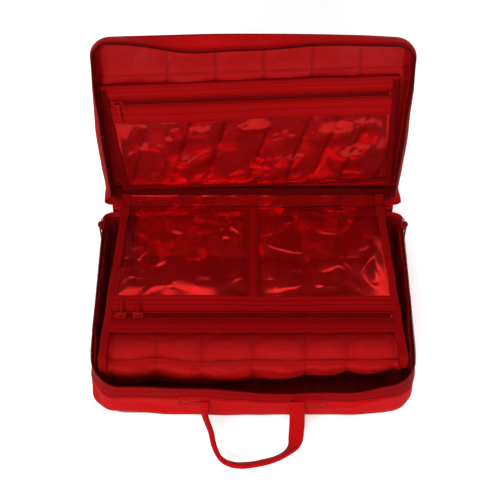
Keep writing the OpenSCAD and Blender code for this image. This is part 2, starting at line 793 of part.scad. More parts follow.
// Hem across the rear edge of the windows
module flap_rear_hem() {
    half = flap_half(0) - bind_w - move_gap;
    color(RED) flap_frame() {
        box([-half, -flap_back - flap_hem, 0], [half, -flap_back + bind_t, bind_t]);
        box([-half, -flap_back, -slider_room], [half, -flap_back + bind_t, bind_t]);
    }
}

module flap_window_left() {
    color(CLEAR) flap_frame() mirror([1, 0, 0]) flap_window();
}

module flap_window_right() {
    color(CLEAR) flap_frame() flap_window();
}

// Strip between the two windows
module flap_centre_strip() {
    color(RED) flap_frame() box([-strip_w / 2, -flap_window, -bind_t], [strip_w / 2, -flap_back, 0]);
}

// Bands behind and in front of the flap's zip
module flap_band_rear() {
    color(RED) flap_frame() flap_band_sheet(flap_window, flap_zip - zip_half - pocket_tape);
}

module flap_band_front() {
    color(RED) flap_frame() {
        flap_band_sheet(flap_zip + zip_half + pocket_tape, flap_band);
        box(
            [-flap_half(-flap_band), -flap_band, -slider_room],
            [flap_half(-flap_band), -flap_band + bind_t, -bind_t]
        );
    }
}

module flap_zip_tape() {
    color(DARK_RED) flap_frame() translate([0, -flap_zip, -tape_t / 2])
        zip_tape(flap_half(zip_half + pocket_tape - flap_zip), pocket_tape);
}

module flap_zip_coil() {
    color(DARK_RED) flap_frame() translate([0, -flap_zip, -tape_t / 2]) zip_coil(flap_coil);
}

module flap_zip_stops() {
    color(DARK_RED) flap_frame() translate([0, -flap_zip, -tape_t / 2]) zip_stops(flap_coil);
}

module flap_slider_left() {
    color(DARK_RED) flap_frame() translate([flap_slider_x, -flap_zip, -tape_t / 2]) slider();
}

module flap_slider_right() {
    color(DARK_RED) flap_frame() translate([flap_slider_x + slider_step, -flap_zip, -tape_t / 2]) slider();
}

module flap_pull_left() {
    color(DARK_RED) flap_frame() translate([flap_slider_x, -flap_zip, -tape_t / 2]) pull(-pull_lean);
}

module flap_pull_right() {
    color(DARK_RED) flap_frame() translate([flap_slider_x + slider_step, -flap_zip, -tape_t / 2])
        pull(-pull_lean);
}

// Sliders of the main zip, parked at the rear, with their pulls hanging outside
module main_slider_left() {
    color(DARK_RED) main_frame(-1) slider();
}

module main_slider_right() {
    color(DARK_RED) main_frame(1) slider();
}

module main_pull_left() {
    color(DARK_RED) main_frame(-1) pull(180);
}

module main_pull_right() {
    color(DARK_RED) main_frame(1) pull(180);
}

base_panel();
base_wall();
base_wall_foam();
base_wall_lining();
base_board();
base_lining();
base_zip_tape();
base_zip_coil();
base_zip_stops();
zip_end_tabs();
spine_cloth();
flap_anchor_tape();
handle_patch_left();
handle_patch_right();
handle_strap();
lid_panel();
lid_wall();
lid_wall_lining();
lid_board();
lid_lining();
lid_zip_tape();
lid_zip_coil();
lid_zip_stops();
lid_pocket_back();
lid_pocket_hem();
lid_pocket_foot();
lid_pocket_binding_left();
lid_pocket_binding_right();
lid_pocket_band_upper();
lid_pocket_band_lower();
lid_pocket_window();
lid_pocket_zip_tape();
lid_pocket_zip_coil();
lid_pocket_zip_stops();
lid_pocket_slider();
lid_pocket_pull();
flap_pad();
flap_front_roll();
flap_rear_binding();
flap_binding_left();
flap_binding_right();
flap_rear_hem();
flap_window_left();
flap_window_right();
flap_centre_strip();
flap_band_rear();
flap_band_front();
flap_zip_tape();
flap_zip_coil();
flap_zip_stops();
flap_slider_left();
flap_slider_right();
flap_pull_left();
flap_pull_right();
main_slider_left();
main_slider_right();
main_pull_left();
main_pull_right();
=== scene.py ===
"""Looks of a soft, zipped organiser case: cloth shell, quilted linings, clear vinyl pockets, zips and
a webbing handle."""

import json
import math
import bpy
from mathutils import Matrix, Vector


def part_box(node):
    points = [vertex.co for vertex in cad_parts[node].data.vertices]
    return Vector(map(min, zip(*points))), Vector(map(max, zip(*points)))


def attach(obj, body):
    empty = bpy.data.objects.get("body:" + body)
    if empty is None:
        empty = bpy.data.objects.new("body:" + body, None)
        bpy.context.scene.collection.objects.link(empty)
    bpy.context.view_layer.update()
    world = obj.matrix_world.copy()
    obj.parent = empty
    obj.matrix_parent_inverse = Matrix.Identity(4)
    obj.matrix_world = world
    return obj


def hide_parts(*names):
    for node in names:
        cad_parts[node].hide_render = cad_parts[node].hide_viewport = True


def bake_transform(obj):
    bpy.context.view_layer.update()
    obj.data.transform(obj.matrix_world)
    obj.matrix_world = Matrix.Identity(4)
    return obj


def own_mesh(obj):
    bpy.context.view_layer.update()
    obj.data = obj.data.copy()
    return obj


bl_info = {
    "name": "Soft organiser case",
    "version": (1, 0, 0),
    "blender": (4, 5, 0),
    "location": "3D View > Sidebar > Soft case",
    "description": "Dresses the packed case with cloth, quilting, zips and clear vinyl",
    "category": "Object",
}

import bpy
import numpy as np

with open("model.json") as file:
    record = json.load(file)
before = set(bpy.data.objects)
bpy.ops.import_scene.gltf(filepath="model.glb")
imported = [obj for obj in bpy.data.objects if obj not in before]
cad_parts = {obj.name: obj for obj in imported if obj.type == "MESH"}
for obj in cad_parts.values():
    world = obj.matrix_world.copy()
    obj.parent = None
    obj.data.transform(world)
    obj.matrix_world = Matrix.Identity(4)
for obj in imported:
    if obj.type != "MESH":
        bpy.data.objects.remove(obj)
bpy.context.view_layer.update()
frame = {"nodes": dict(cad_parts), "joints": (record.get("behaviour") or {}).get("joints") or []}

MM = 1e-3
PI = math.pi
RIGHT, REAR, UP = np.eye(3)
FORE = np.array([0.0, -1.0, 0.0])


def low(node):
    """Least corner of a solid's box."""
    return np.array(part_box(node)[0])


def high(node):
    """Greatest corner of a solid's box."""
    return np.array(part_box(node)[1])


def joint(name):
    """One of the frame's joints."""
    return next(j for j in frame["joints"] if j["name"] == name)


# sizes of base and lid

HALF_W, HALF_D = (float(v) for v in high("base_panel")[:2])
FRONT_R, REAR_R = 45 * MM, 12 * MM  # corners of the case's plan
FOOT_R = 28 * MM  # front corners at the base's foot
LID_R = 27 * MM  # front corners of the lid
HINGE = np.array(joint("lid_hinge")["pos_m"])
RIM = float(HINGE[2])
LID_H = float(high("lid_panel")[1] - HINGE[1])
ZIP_END = float(high("base_zip_coil")[1])
WALL_END = float(high("base_zip_tape")[1])
WALL_TOP = 57 * MM  # upper edge of the base's wall along the zip
FOOT_IN = 7 * MM  # how far the bottom stays inside the plan
FOOT_LIFT = 1.4 * MM  # height of the wall's lower edge and of the bottom's rim
CLOTH = 1.6 * MM  # thickness of the outer cloth
TAPE_FOOT, TAPE_TOP = 54.6 * MM, 71.9 * MM  # edges of the base's zip tape
TAPE_FACES = (0.4 * MM, 1.2 * MM)  # how deep the faces of the zip's tapes lie in the plan
COIL_IN = 0.8 * MM  # how deep the middle of its coil rows lies
LINING_IN = 5.5 * MM  # how far the lid's board and quilting stay inside the plan
LID_BOARD = (37.8 * MM, 36.6 * MM)  # depths of the board's faces below the lid's rim
LID_QUILT = 36.3 * MM  # depth of the quilting's back
PATCH_HEM = 2.6 * MM  # from a handle patch's edge to its sewn line


# sizes and colours a user would change


def length(name, text, value, top=0.1):
    """A size in metres that the user may change."""
    return bpy.props.FloatProperty(
        name=name, description=text, default=value, min=0.0, max=top, precision=4, unit="LENGTH"
    )


def colour(name, text, value):
    """A colour that the user may change."""
    return bpy.props.FloatVectorProperty(
        name=name, description=text, default=value, size=3, min=0.0, max=1.0, subtype="COLOR"
    )


class CaseSizes(bpy.types.PropertyGroup):
    """Sizes of the soft forms"""

    wall_bulge: length("Wall bulge", "How far the base wall stands out at half height", 4 * MM)
    rim_sag: length("Rim sag", "How far the front rim hangs down right of its middle", 12 * MM)
    lid_pull: length("Lid pull", "How far the lid's top draws in at each side", 10 * MM)
    rim_curl: length("Rim curl", "How far the lid's side rims curl inwards", 14 * MM)
    quilt_pitch: length("Quilt pitch", "Distance between the sewn lines of the quilting", 65 * MM, 0.3)
    crumple: length("Vinyl crumple", "Height of the dents in the clear windows", 2.0 * MM)
    stitch: length("Stitch", "Length of one stitch", 2.8 * MM)
    coil_pitch: length("Coil pitch", "Length of one turn of a zip coil", 1.5 * MM)
    weave: length("Weave", "Width of one thread of the outer cloth", 0.45 * MM)


class CaseColours(bpy.types.PropertyGroup):
    """Colours of the finishes"""

    cloth: colour("Outer cloth", "Woven, coated cloth of the walls", (0.34, 0.0035, 0.0042))
    lining: colour("Lining", "Satin of the quilting and linings", (0.235, 0.0024, 0.003))
    binding: colour("Binding", "Ribbed edge tape", (0.215, 0.002, 0.0026))
    tape: colour("Zip tape", "Knitted tape of the zips", (0.20, 0.0018, 0.0024))
    # painted shade: the coil's colour is partly its own and partly made darker for the shade beside it
    coil: colour("Zip coil", "Nylon coil of the zips", (0.06, 0.0007, 0.001))
    enamel: colour("Enamel", "Lacquer on sliders and pulls", (0.21, 0.0021, 0.0028))
    strap: colour("Webbing", "Webbing of the handle", (0.36, 0.0034, 0.0042))
    floor: colour("Floor", "Plain floor and backdrop", (0.93, 0.93, 0.93))


# arithmetic on whole arrays


def smooth(t):
    """Zero below 0, one above 1, and the cubic 3t^2 - 2t^3 between them."""
    t = np.clip(t, 0.0, 1.0)
    return t * t * (3 - 2 * t)


def hill(x, middle, width):
    """A bell of height one: e to the minus squared distance in widths."""
    return np.exp(-(((x - middle) / width) ** 2))


def risen(gap, soft):
    """Rise from a sewn line: one minus e to the minus distance in softnesses."""
    return 1 - np.exp(-gap / soft)


def ripple(p, q, wave, seed, count=10):
    """Smooth unevenness, mostly from -1 to 1: the sum of seeded plane waves of about one wavelength."""
    r = np.random.default_rng(seed)
    turn, phase = r.uniform(0, 2 * PI, (2, count))
    step = 2 * PI / (wave * r.uniform(0.75, 1.4, count))
    waves = np.sin(
        (np.multiply.outer(p, np.cos(turn)) + np.multiply.outer(q, np.sin(turn))) * step + phase
    )
    return waves.sum(-1) / (1.5 * math.sqrt(count / 2))


def column(*span):
    """Even steps as a column, for the first direction of a grid."""
    return np.linspace(*span)[:, None]


def row(*span):
    """Even steps as a row, for the second direction of a grid."""
    return np.linspace(*span)[None, :]


def unit(v):
    """Vectors divided by their lengths."""
    return v / np.maximum(np.linalg.norm(v, axis=-1, keepdims=True), 1e-12)


def stack(*parts):
    """Coordinates spread over each other's shapes and joined into points."""
    return np.stack(np.broadcast_arrays(*parts), -1).astype(float)


def lengths(path):
    """Distance along a line of points."""
    return np.concatenate([[0.0], np.cumsum(np.linalg.norm(np.diff(path, axis=0), axis=1))])


def at_length(path, where, along):
    """Values of a line of points at distances along it, straight between the points."""
    return np.stack([np.interp(where, along, path[:, k]) for k in range(path.shape[1])], -1)


def joined(grid, axis=0):
    """A grid whose first line of points comes again after its last."""
    return np.concatenate([grid, np.take(grid, [0], axis)], axis)


def through(points, steps):
    """A smooth line through a few points: Catmull-Rom cubics, steps to each span."""
    p = np.concatenate([[2 * points[0] - points[1]], points, [2 * points[-1] - points[-2]]])
    t = np.linspace(0, len(p) - 3, (len(p) - 3) * steps + 1)
    i = np.minimum(t.astype(int), len(p) - 4)
    u = (t - i)[:, None]
    a, b, c, d = p[i], p[i + 1], p[i + 2], p[i + 3]
    return b + u / 2 * ((c - a) + u * ((2 * a - 5 * b + 4 * c - d) + u * (3 * b - a - 3 * c + d)))


# meshes from grids


class Skin:
    """Collects grids of points into one mesh with UVs in metres and a darkening value at each point: along
    sewn lines partly dirt and partly painted shade, elsewhere painted shade.
    """

    CREASE = math.radians(42)  # edges sharper than this stay sharp

    def __init__(self):
        self.points, self.seams, self.faces, self.uvs, self.count = [], [], [], [], 0

    def add(self, points, seam=0.0):
        """Takes in a grid of points and gives the grid of their numbers."""
        first = self.count
        self.points.append(points.reshape(-1, 3))
        self.seams.append(np.broadcast_to(seam, points.shape[:-1]).ravel())
        self.count += points[..., 0].size
        return first + np.arange(points[..., 0].size).reshape(points.shape[:-1])

    def quads(self, index, uv):
        """Quads over a grid of point numbers, with a UV for each place in it."""
        for store, g in ((self.faces, index), (self.uvs, uv)):
            corners = np.stack([g[:-1, :-1], g[1:, :-1], g[1:, 1:], g[:-1, 1:]], 2)
            store.append(corners.reshape(-1, *corners.shape[2:]))

    def outward(self, first):
        """Turns the faces added since first round if they enclose a negative volume."""
        p, volume = np.concatenate(self.points), 0.0
        for f in self.faces[first:]:
            for k in range(1, f.shape[1] - 1):
                volume += (p[f[:, 0]] * np.cross(p[f[:, k]], p[f[:, k + 1]])).sum()
        if volume < 0:
            self.faces[first:] = [f[:, ::-1] for f in self.faces[first:]]
            self.uvs[first:] = [u[:, ::-1] for u in self.uvs[first:]]
        return self

    def uv_of(self, grid):
        """UVs in metres: distance along the middle row and along the middle column."""
        a = lengths(grid[:, grid.shape[1] // 2])
        b = lengths(grid[grid.shape[0] // 2])
        return stack(a[:, None], b[None, :])

    def shell(self, a, b, uv, edges):
        """Two grids of point numbers as faces of one sheet, and rims that join them along some edges."""
        first = len(self.faces)
        self.quads(a, uv)
        self.quads(b[:, ::-1], uv[:, ::-1])
        for edge in edges:
            self.quads(np.stack([b[edge], a[edge]], 1), np.stack([uv[edge], uv[edge]], 1))
        return self.outward(first)

    def sheet(self, top, under, seam=0.0):
        """A closed sheet: a top grid, an under grid of the same shape, and a rim that joins them."""
        edges = (np.s_[:, 0], np.s_[::-1, -1], np.s_[0, ::-1], np.s_[-1, :])
        return self.shell(self.add(top, seam), self.add(under, seam), self.uv_of(top), edges)

    def band(self, outer, inner, seam=0.0):
        """A closed ring-shaped sheet: as sheet, but its first direction runs round and joins itself."""
        a, b = joined(self.add(outer, seam)), joined(self.add(inner, seam))
        return self.shell(a, b, self.uv_of(joined(outer)), (np.s_[:, 0], np.s_[::-1, -1]))

    def tube(self, rings):
        """A closed tube through rings of points, with a flat cap at each end."""
        index, first = self.add(rings), len(self.faces)
        uv = self.uv_of(joined(rings, 1))[..., ::-1]
        self.quads(joined(index, 1), uv)
        self.faces += [index[:1, ::-1], index[-1:]]
        self.uvs += [uv[:1, -2::-1], uv[-1:, :-1]]
        return self.outward(first)

    def make(self, name, finish):
        """The object, with its faces pointing outwards as outward left them."""
        mesh = bpy.data.meshes.new(name)
        points = np.concatenate(self.points)
        sizes = np.concatenate([np.full(len(f), f.shape[1]) for f in self.faces])
        starts = np.concatenate([[0], np.cumsum(sizes)[:-1]])
        loops = np.concatenate([f.ravel() for f in self.faces])
        mesh.vertices.add(len(points))
        mesh.vertices.foreach_set("co", points.ravel())
        mesh.loops.add(len(loops))
        mesh.loops.foreach_set("vertex_index", loops.astype(np.int32))
        mesh.polygons.add(len(sizes))
        mesh.polygons.foreach_set("loop_start", starts.astype(np.int32))
        mesh.uv_layers.new(name="UVMap").data.foreach_set(
            "uv", np.concatenate([u.reshape(-1, 2) for u in self.uvs]).ravel()
        )
        mesh.attributes.new("seam", "FLOAT", "POINT").data.foreach_set(
            "value", np.concatenate(self.seams).astype(np.float32)
        )
        mesh.update(calc_edges=True)
        if mesh.validate():
            raise RuntimeError(f"{name}: the mesh had faulty faces")
        mesh.polygons.foreach_set("use_smooth", np.ones(len(sizes), bool))
        mesh.set_sharp_from_angle(angle=self.CREASE)
        piece = bpy.data.objects.new(name, mesh)
        bpy.context.scene.collection.objects.link(piece)
        mesh.materials.append(FINISH[finish])
        return piece


def slotted(skin, name, finish, slot, *nodes):
    """Makes the piece and hides the solids it stands for; slot is not used."""
    piece = skin.make(name, finish)
    if nodes:
        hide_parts(*nodes)
    return piece


def placed(skin, name, finish, body, slot, *nodes):
    """A slotted piece that rides on one body."""
    piece = slotted(skin, name, finish, slot, *nodes)
    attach(piece, body)
    return piece


def bending(skin, name, finish, body, slot, start, end, *nodes):
    """A slotted piece over a hinge, its placement baked into its mesh; body, start and end are not used."""
    piece = slotted(skin, name, finish, slot, *nodes)
    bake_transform(piece)
    return piece


def oblong(width, thick, corner, steps=3):
    """Section of a strap or bar: a rectangle with rounded corners, as side and up distances."""
    turn = np.linspace(0, PI / 2, steps + 1)
    quarter = np.stack([np.cos(turn), np.sin(turn)], -1) * corner
    parts = []
    for k, (a, b) in enumerate([(1, 1), (-1, 1), (-1, -1), (1, -1)]):
        c, s = math.cos(k * PI / 2), math.sin(k * PI / 2)
        spun = quarter @ np.array([[c, s], [-s, c]])
        parts.append(spun + [a * (width / 2 - corner), b * (thick / 2 - corner)])
    return np.concatenate(parts)


def carried(path, side, up, section):
    """Rings of a section carried along a path, section[..., 0] along side and [..., 1] along up."""
    section = np.broadcast_to(section, (len(path),) + section.shape[-2:])
    side, up = (np.broadcast_to(v, path.shape)[:, None] for v in (side, up))
    return path[:, None] + section[..., :1] * side + section[..., 1:] * up


def bar(skin, path, side, up, wide, tall, corner):
    """A folded edge tape: a rounded section carried along the edge."""
    return skin.tube(carried(path, side, up, oblong(wide, tall, corner, 4)))


def coil(skin, path, side, up, wide, tall, wire, pitch, start=0.0):
    """A zip coil: a thin tube whose middle turns round the path as an ellipse, one turn to each pitch."""
    along = lengths(path)
    turns = max(2, int(along[-1] / pitch))
    phase = np.linspace(0, turns * 2 * PI, turns * 7 + 1)
    where = phase / (turns * 2 * PI) * along[-1]
    p, s, u = (at_length(np.broadcast_to(v, path.shape), where, along) for v in (path, side, up))
    s, u = unit(s), unit(u)
    c, k = np.cos(phase + start)[:, None], np.sin(phase + start)[:, None]
    out = unit(s * c * tall + u * k * wide)
    middle = p + s * c * wide + u * k * tall
    third = unit(np.cross(unit(np.gradient(middle, axis=0)), out))
    turn = np.arange(4)[:, None] * PI / 2
    return skin.tube(middle[:, None] + wire * (out[:, None] * np.cos(turn) + third[:, None] * np.sin(turn)))


def stitches(skin, path, up, size, gap=0.35, thick=0.28 * MM):
    """A row of stitches: slim eight-sided grains laid end to end along a path, each raised in its middle."""
    along = lengths(path)
    count = max(1, int(along[-1] / (size * (1 + gap))))
    mid = (np.arange(count) + 0.5) / count * along[-1]
    p, u = (at_length(v, mid, along) for v in (path, np.broadcast_to(up, path.shape)))
    ahead = at_length(path, np.minimum(mid + size / 2, along[-1]), along)
    run = unit(ahead - at_length(path, np.maximum(mid - size / 2, 0), along))
    u = unit(u)
    side = np.cross(run, u)
    tips = [p - run * size / 2, p + run * size / 2]
    belt = [p + side * thick, p + u * thick * 0.9, p - side * thick, p - u * thick]
    index = skin.add(np.stack(tips + belt, 1))
    ring, first = index[:, 2:], len(skin.faces)
    after = np.roll(ring, -1, 1)
    for tip, pair in ((0, (after, ring)), (1, (ring, after))):
        faces = np.stack([np.broadcast_to(index[:, tip, None], ring.shape), *pair], -1).reshape(-1, 3)
        skin.faces.append(faces)
        skin.uvs.append(np.zeros((len(faces), 3, 2)))
    return skin.outward(first)


# the case's own surfaces

# spans of half the plan's outline: front, front corner, side, rear corner, rear
SPANS = (HALF_W - FRONT_R, FRONT_R * PI / 2, 2 * HALF_D - FRONT_R - REAR_R, REAR_R * PI / 2, HALF_W - REAR_R)
STARTS = np.concatenate([[0.0], np.cumsum(SPANS)])
RING = column(-STARTS[5], STARTS[5], 461)[:-1]


def around(s, inset=0.0, front=FRONT_R):
    """Plan of the case at distance s from the middle of its front, right side positive: a straight, a
    large quarter circle, a straight side, a small quarter circle and the rear, drawn in by inset. Another
    front radius keeps each span's own share of s. Gives x, y and the outward normal."""
    a, sign = np.abs(s), np.where(np.asarray(s) < 0, -1.0, 1.0)
    t = [np.clip(a - STARTS[k], 0, SPANS[k]) for k in range(4)] + [np.maximum(a - STARTS[4], 0)]
    f, r = t[1] / FRONT_R, t[3] / REAR_R
    x = t[0] * (HALF_W - front) / SPANS[0] + front * np.sin(f) - REAR_R * (1 - np.cos(r)) - t[4]
    side = t[2] * (2 * HALF_D - front - REAR_R) / SPANS[2]
    y = -HALF_D + front * (1 - np.cos(f)) + side + REAR_R * np.sin(r)
    nx, ny = np.sin(f + r), -np.cos(f + r)
    return sign * (x - nx * inset), y - ny * inset, sign * nx, ny


def run_to(y):
    """Distance s at which the straight side reaches y."""
    return STARTS[2] + y + HALF_D - FRONT_R


def past_zip(s):
    """Zero along the zip, one at the rear past its ends."""
    return smooth((around(s)[1] - WALL_END + 2 * MM) / (3 * MM))


def half_width(y, inset=0.0, front=FRONT_R):
    """Half width of the case's plan at y, between its front and rear corners."""
    f, r, d = front - inset, REAR_R - inset, HALF_D - inset
    a = np.clip((f - d - y) / f, 0, 1)
    b = np.clip((y - d + r) / r, 0, 1)
    return HALF_W - inset - f * (1 - np.sqrt(1 - a * a)) - r * (1 - np.sqrt(1 - b * b))


def plan_grid(inset, across, deep, front):
    """Grid over the case's plan: rows from front to rear, set closer at the corners, each as wide as the
    plan. Gives x, y and the distances to the sides and to the front or rear."""
    d = HALF_D - inset
    turn = np.linspace(0, PI / 2, 10)
    corner = -d + (front - inset) * (1 - np.cos(turn))
    between = np.linspace(-d + front - inset, d - REAR_R + inset, deep)[1:-1]
    y = np.concatenate([corner, between, d - (REAR_R - inset) * (1 - np.sin(turn))])
    wide = half_width(y, inset, front)
    x = column(-1, 1, across) * wide
    return x, np.broadcast_to(y, x.shape), wide - np.abs(x), np.broadcast_to(d - np.abs(y), x.shape)


def drawn_foot(x, y):
    """How far the foot of the wall is drawn in at the two front corners, further at the right."""
    return (9 * MM * hill(x, 0.212, 0.05) + 6.5 * MM * hill(x, -0.212, 0.05)) * hill(y, -0.13, 0.075)


def slumped(s, z, inset):
    """Base wall: the plan at s drawn in by inset, bulged over its height, tucked under at its foot, its
    rim leaned in and let down along the front and drawn in at the hinge."""
    sizes = bpy.context.scene.case_sizes
    x, y, nx, ny = around(s, inset)
    foot = around(s, inset, FOOT_R)
    h = np.clip(z / RIM, 0, 1.1)
    low_share = 1 - np.clip(h, 0, 1)
    x, y = x + low_share * (foot[0] - x), y + low_share * (foot[1] - y)
    belly = np.sin(PI * np.clip(h, 0, 1))
    fade = 1 - smooth((y - 0.04) / 0.06)
    front = smooth((-y - 0.07) / 0.07)
    corner = front * (1 - smooth((-y - 0.135) / 0.015))
    # bulge, unevenness, and puckers round the front corners
    full = belly**0.8 * (0.8 + 0.35 * ripple(s, z, 0.16, 3)) + 0.5 * front * hill(h, 0.25, 0.2)
    out = sizes.wall_bulge * full * fade
    out = out + 0.9 * MM * fade * ripple(s, z * 0.4, 0.05, 5) * belly
    out = out + 1.3 * MM * corner * np.sin(s / (7 * MM) + z * 60) * belly**2
    # foot tucked under, rim drawn in at the hinge, uneven along the front and leaned in there
    out = out - 5 * MM * hill(z, 0, 7 * MM) * fade - 1.5 * MM * hill(z, 0, 5 * MM) * (1 - fade)
    out = out - 9 * MM * smooth((y - 0.129) / 0.018) * h**2
    out = out + 1.5 * MM * h**2 * front * ripple(s, 0.0, 0.18, 8)
    out = out - 4.5 * MM * front * smooth((z - 0.053) / 0.024)
    # left corner swollen, foot drawn in at both corners and left of the middle
    out = out + 3.5 * MM * hill(x, -0.215, 0.04) * hill(y, -0.08, 0.06) * hill(h, 0.25, 0.2)
    out = out - drawn_foot(x, y) * low_share
    out = out - 4 * MM * front * smooth((0.024 - z) / 0.018) * hill(x, -0.18, 0.06)
    # one slanting fold at the right, one slanting hollow at the left
    out = out + 2.4 * MM * front * hill(z - 0.3 * (x - 0.13), 0.042, 0.006) * hill(x, 0.13, 0.035)
    out = out - 1.8 * MM * front * hill(z + 0.2 * (x + 0.1), 0.03, 0.007) * hill(x, -0.12, 0.04)
    out = out * (1 - (1 - front) * fade * smooth((h - 0.8) / 0.12))
    down = 0.25 + hill(x, 0.035, 0.068) + 0.8 * hill(x, 0.128, 0.036)
    down = sizes.rim_sag * (down - 0.6 * hill(x, -0.15, 0.045) - 0.6 * hill(x, 0.178, 0.024))
    drop = h**1.6 * (front * down + 0.2 * MM * fade * (1 - front) * ripple(s, 0.0, 0.15, 11))
    return stack(x + nx * out, y + ny * out, z - drop)


def propped(x, y, v):
    """Lid point from its place in the closed case, v deep from the rim: drawn in towards the top, side
    rims curled in as the square of the distance below a depth, top edge crowned, its rim let down left of
    the middle, then turned up to stand behind the base."""
    sizes = bpy.context.scene.case_sizes
    u = HINGE[1] - y
    d = np.clip(v / LID_H, 0, 1)
    curl_deep = 26 * MM
    top = smooth((u - 0.14) / 0.13)
    edge = smooth((u - 0.225) / 0.06)
    curl = sizes.rim_curl * np.maximum(1 - v / curl_deep, 0) ** 2 * smooth((u - 0.006) / 0.022)
    curl = curl * (1 - 0.8 * smooth((u - 0.14) / 0.12))
    wave = 1.2 * MM * ripple(u, v * 0.5, 0.11, 21) * smooth((u - 0.05) / 0.05) * (1 - d)
    drawn = np.where(x > 0, 6.5, 2.5) * MM * smooth((np.abs(x) - 0.18) / 0.03)
    drawn = drawn * smooth(u / 0.02) * (1 - smooth((u - 0.15) / 0.08)) * smooth(v / curl_deep)
    x2 = x * (1 - (sizes.lid_pull * top + curl + wave + drawn) / HALF_W)
    sag = 13 * hill(x, -0.085, 0.055) + 9 * hill(x, 0.01, 0.06) - 10
    crown = 6 * (x / 0.19) ** 2 - 1.5
    uneven = 1.2 * ripple(x, v, 0.09, 23) * np.sin(PI * d)
    u2 = u - edge * MM * ((1 - d) ** 1.3 * sag + crown * d - uneven)
    lean = MM * (6 * edge + 3 * top * ripple(x, u, 0.3, 25)) * (1 - d)
    return stack(x2, HINGE[1] + v + lean, HINGE[2] + u2)


def lid_wall(s, v, inset, bulge=1.4 * MM):
    """Lid wall: the plan at s drawn in by inset, bulged by a half sine over its depth, then propped."""
    x, y, nx, ny = around(s, inset, LID_R)
    out = bulge * np.sin(PI * np.clip(v / LID_H, 0, 1)) * smooth((0.12 - y) / 0.04)
    out = out - 3 * MM * hill(v, LID_H, 4 * MM) * smooth((0.13 - y) / 0.04)
    return propped(x + nx * out, y + ny * out, v)


def both(surface, s, h, depths):
    """The two faces of a sheet that lies on a surface: its grid at each of two depths."""
    return [surface(s, h, depth) for depth in depths]


# finishes


class Value:
    """One output of a material's nodes, so that sums on it add Math nodes."""

    def __init__(self, finish, socket):
        self.finish, self.socket = finish, socket

    def math(self, kind, a, b=0.0):
        """A Math node of that kind on one or two values."""
        return self.finish.node("Math", {"operation": kind}, {0: a, 1: b})

    def __add__(self, other):
        return self.math("ADD", self, other)

    __radd__ = __add__

    def __mul__(self, other):
        return self.math("MULTIPLY", self, other)

    __rmul__ = __mul__

    def __rsub__(self, other):
        return self.math("SUBTRACT", other, self)

    def __pow__(self, other):
        return self.math("POWER", self, other)

    def sine(self):
        return self.math("SINE", self)


class Finish:
    """One material and the single way its nodes are made."""

    def __init__(self, name):
        self.material = bpy.data.materials.new(name)
        self.material.use_nodes = True
        self.tree = self.material.node_tree
        self.tree.nodes.clear()

    def node(self, kind, settings=None, sockets=None, out=0):
        """A node of that type: its settings first, then the values or links of its sockets."""
        n = self.tree.nodes.new("ShaderNode" + kind)
        for key, value in (settings or {}).items():
            setattr(n, key, value)
        for key, value in (sockets or {}).items():
            if isinstance(value, Value):
                self.tree.links.new(value.socket, n.inputs[key])
            else:
                n.inputs[key].default_value = value
        return Value(self, n.outputs[out])

    def uv(self):
        """The piece's UVs as a vector, and the distances along its two directions, in metres."""
        where = self.node("UVMap", {"uv_map": "UVMap"})
        u = self.node("SeparateXYZ", None, {0: where})
        return where, u, Value(self, u.socket.node.outputs[1])

    def place(self):
        """Object coordinates, in metres."""
        return self.node("TexCoord", out=3)

    def noise(self, where, scale, detail=3.0, rough=0.55):
        """Cloudy noise with about one blot to each scale-th of a metre."""
        sockets = {"Vector": where, "Scale": scale, "Detail": detail, "Roughness": rough}
        return self.node("TexNoise", None, sockets)

    def seam(self):
        """The darkening value of the mesh's points: one on a sewn line, partly dirt and partly painted shade,
        and raised where shade is painted.
        """
        return self.node("Attribute", {"attribute_name": "seam"}, out=2)

    def mix(self, share, a, b):
        """Colour a turning into colour b as the share nears one."""
        return self.node("Mix", {"data_type": "RGBA"}, {0: share, 6: a, 7: b}, 2)

    def surface(self, colour, roughness, height, depth, strength, **fixed):
        """A Principled shader with constants on its own sockets, and a bump from height."""
        bump = self.node("Bump", None, {"Strength": strength, "Distance": depth, "Height": height})
        sockets = {"Base Color": colour, "Roughness": roughness, "Normal": bump}
        sockets.update({k.replace("_", " "): v for k, v in fixed.items()})
        return self.node("BsdfPrincipled", None, sockets)

    def done(self, shader):
        """Ends the material with its shader."""
        end = self.tree.nodes.new("ShaderNodeOutputMaterial")
        self.tree.links.new(shader.socket, end.inputs["Surface"])
        return self.material


GLOW = (1.0, 0.05, 0.045, 1.0)  # tint of the gloss on dyed thread and lacquer
DEEP = (1.0, 0.015, 0.013, 1.0)  # tint of the gloss on the coated cloth
MIRROR = (1.0, 0.024, 0.022, 1.0)  # tint of the gloss on the clear sheets


def dyed(base, share=1.0):
    """The colour made darker or paler by a share, none of it above one."""
    return tuple(min(1.0, c * share) for c in list(base)[:3]) + (1.0,)


def woven(name, base, pitch, rough, relief, sheen):
    """Plain weave: over and under threads as the product of two sines of the UVs, with faint slubs, worn
    pale patches, and sewn lines darkened partly as dirt and partly as painted shade."""
    f = Finish(name)
    where, u, v = f.uv()
    spot = f.place()
    threads = (u * (PI / pitch)).sine() * (v * (PI / pitch)).sine()
    slub = f.noise(where, 260.0, 2.0)
    cloud = f.noise(spot, 14.0, 4.0)
    fine = f.noise(spot, 90.0)
    tone = f.mix(cloud * 0.75, dyed(base, 0.82), dyed(base, 1.16))
    # darker along sewn lines: partly dirt, partly painted shade
    tone = f.mix(f.seam() * 0.55, tone, dyed(base, 0.25))
    height = threads * 0.5 + slub * 0.5 + fine * 1.2
    shader = f.surface(
        tone, rough + cloud * 0.12 + threads * 0.03, height, relief, 0.55,
        Sheen_Weight=sheen, Sheen_Roughness=0.4, Sheen_Tint=DEEP,
        Specular_IOR_Level=0.02, Specular_Tint=DEEP,
    )
    return f.done(shader)


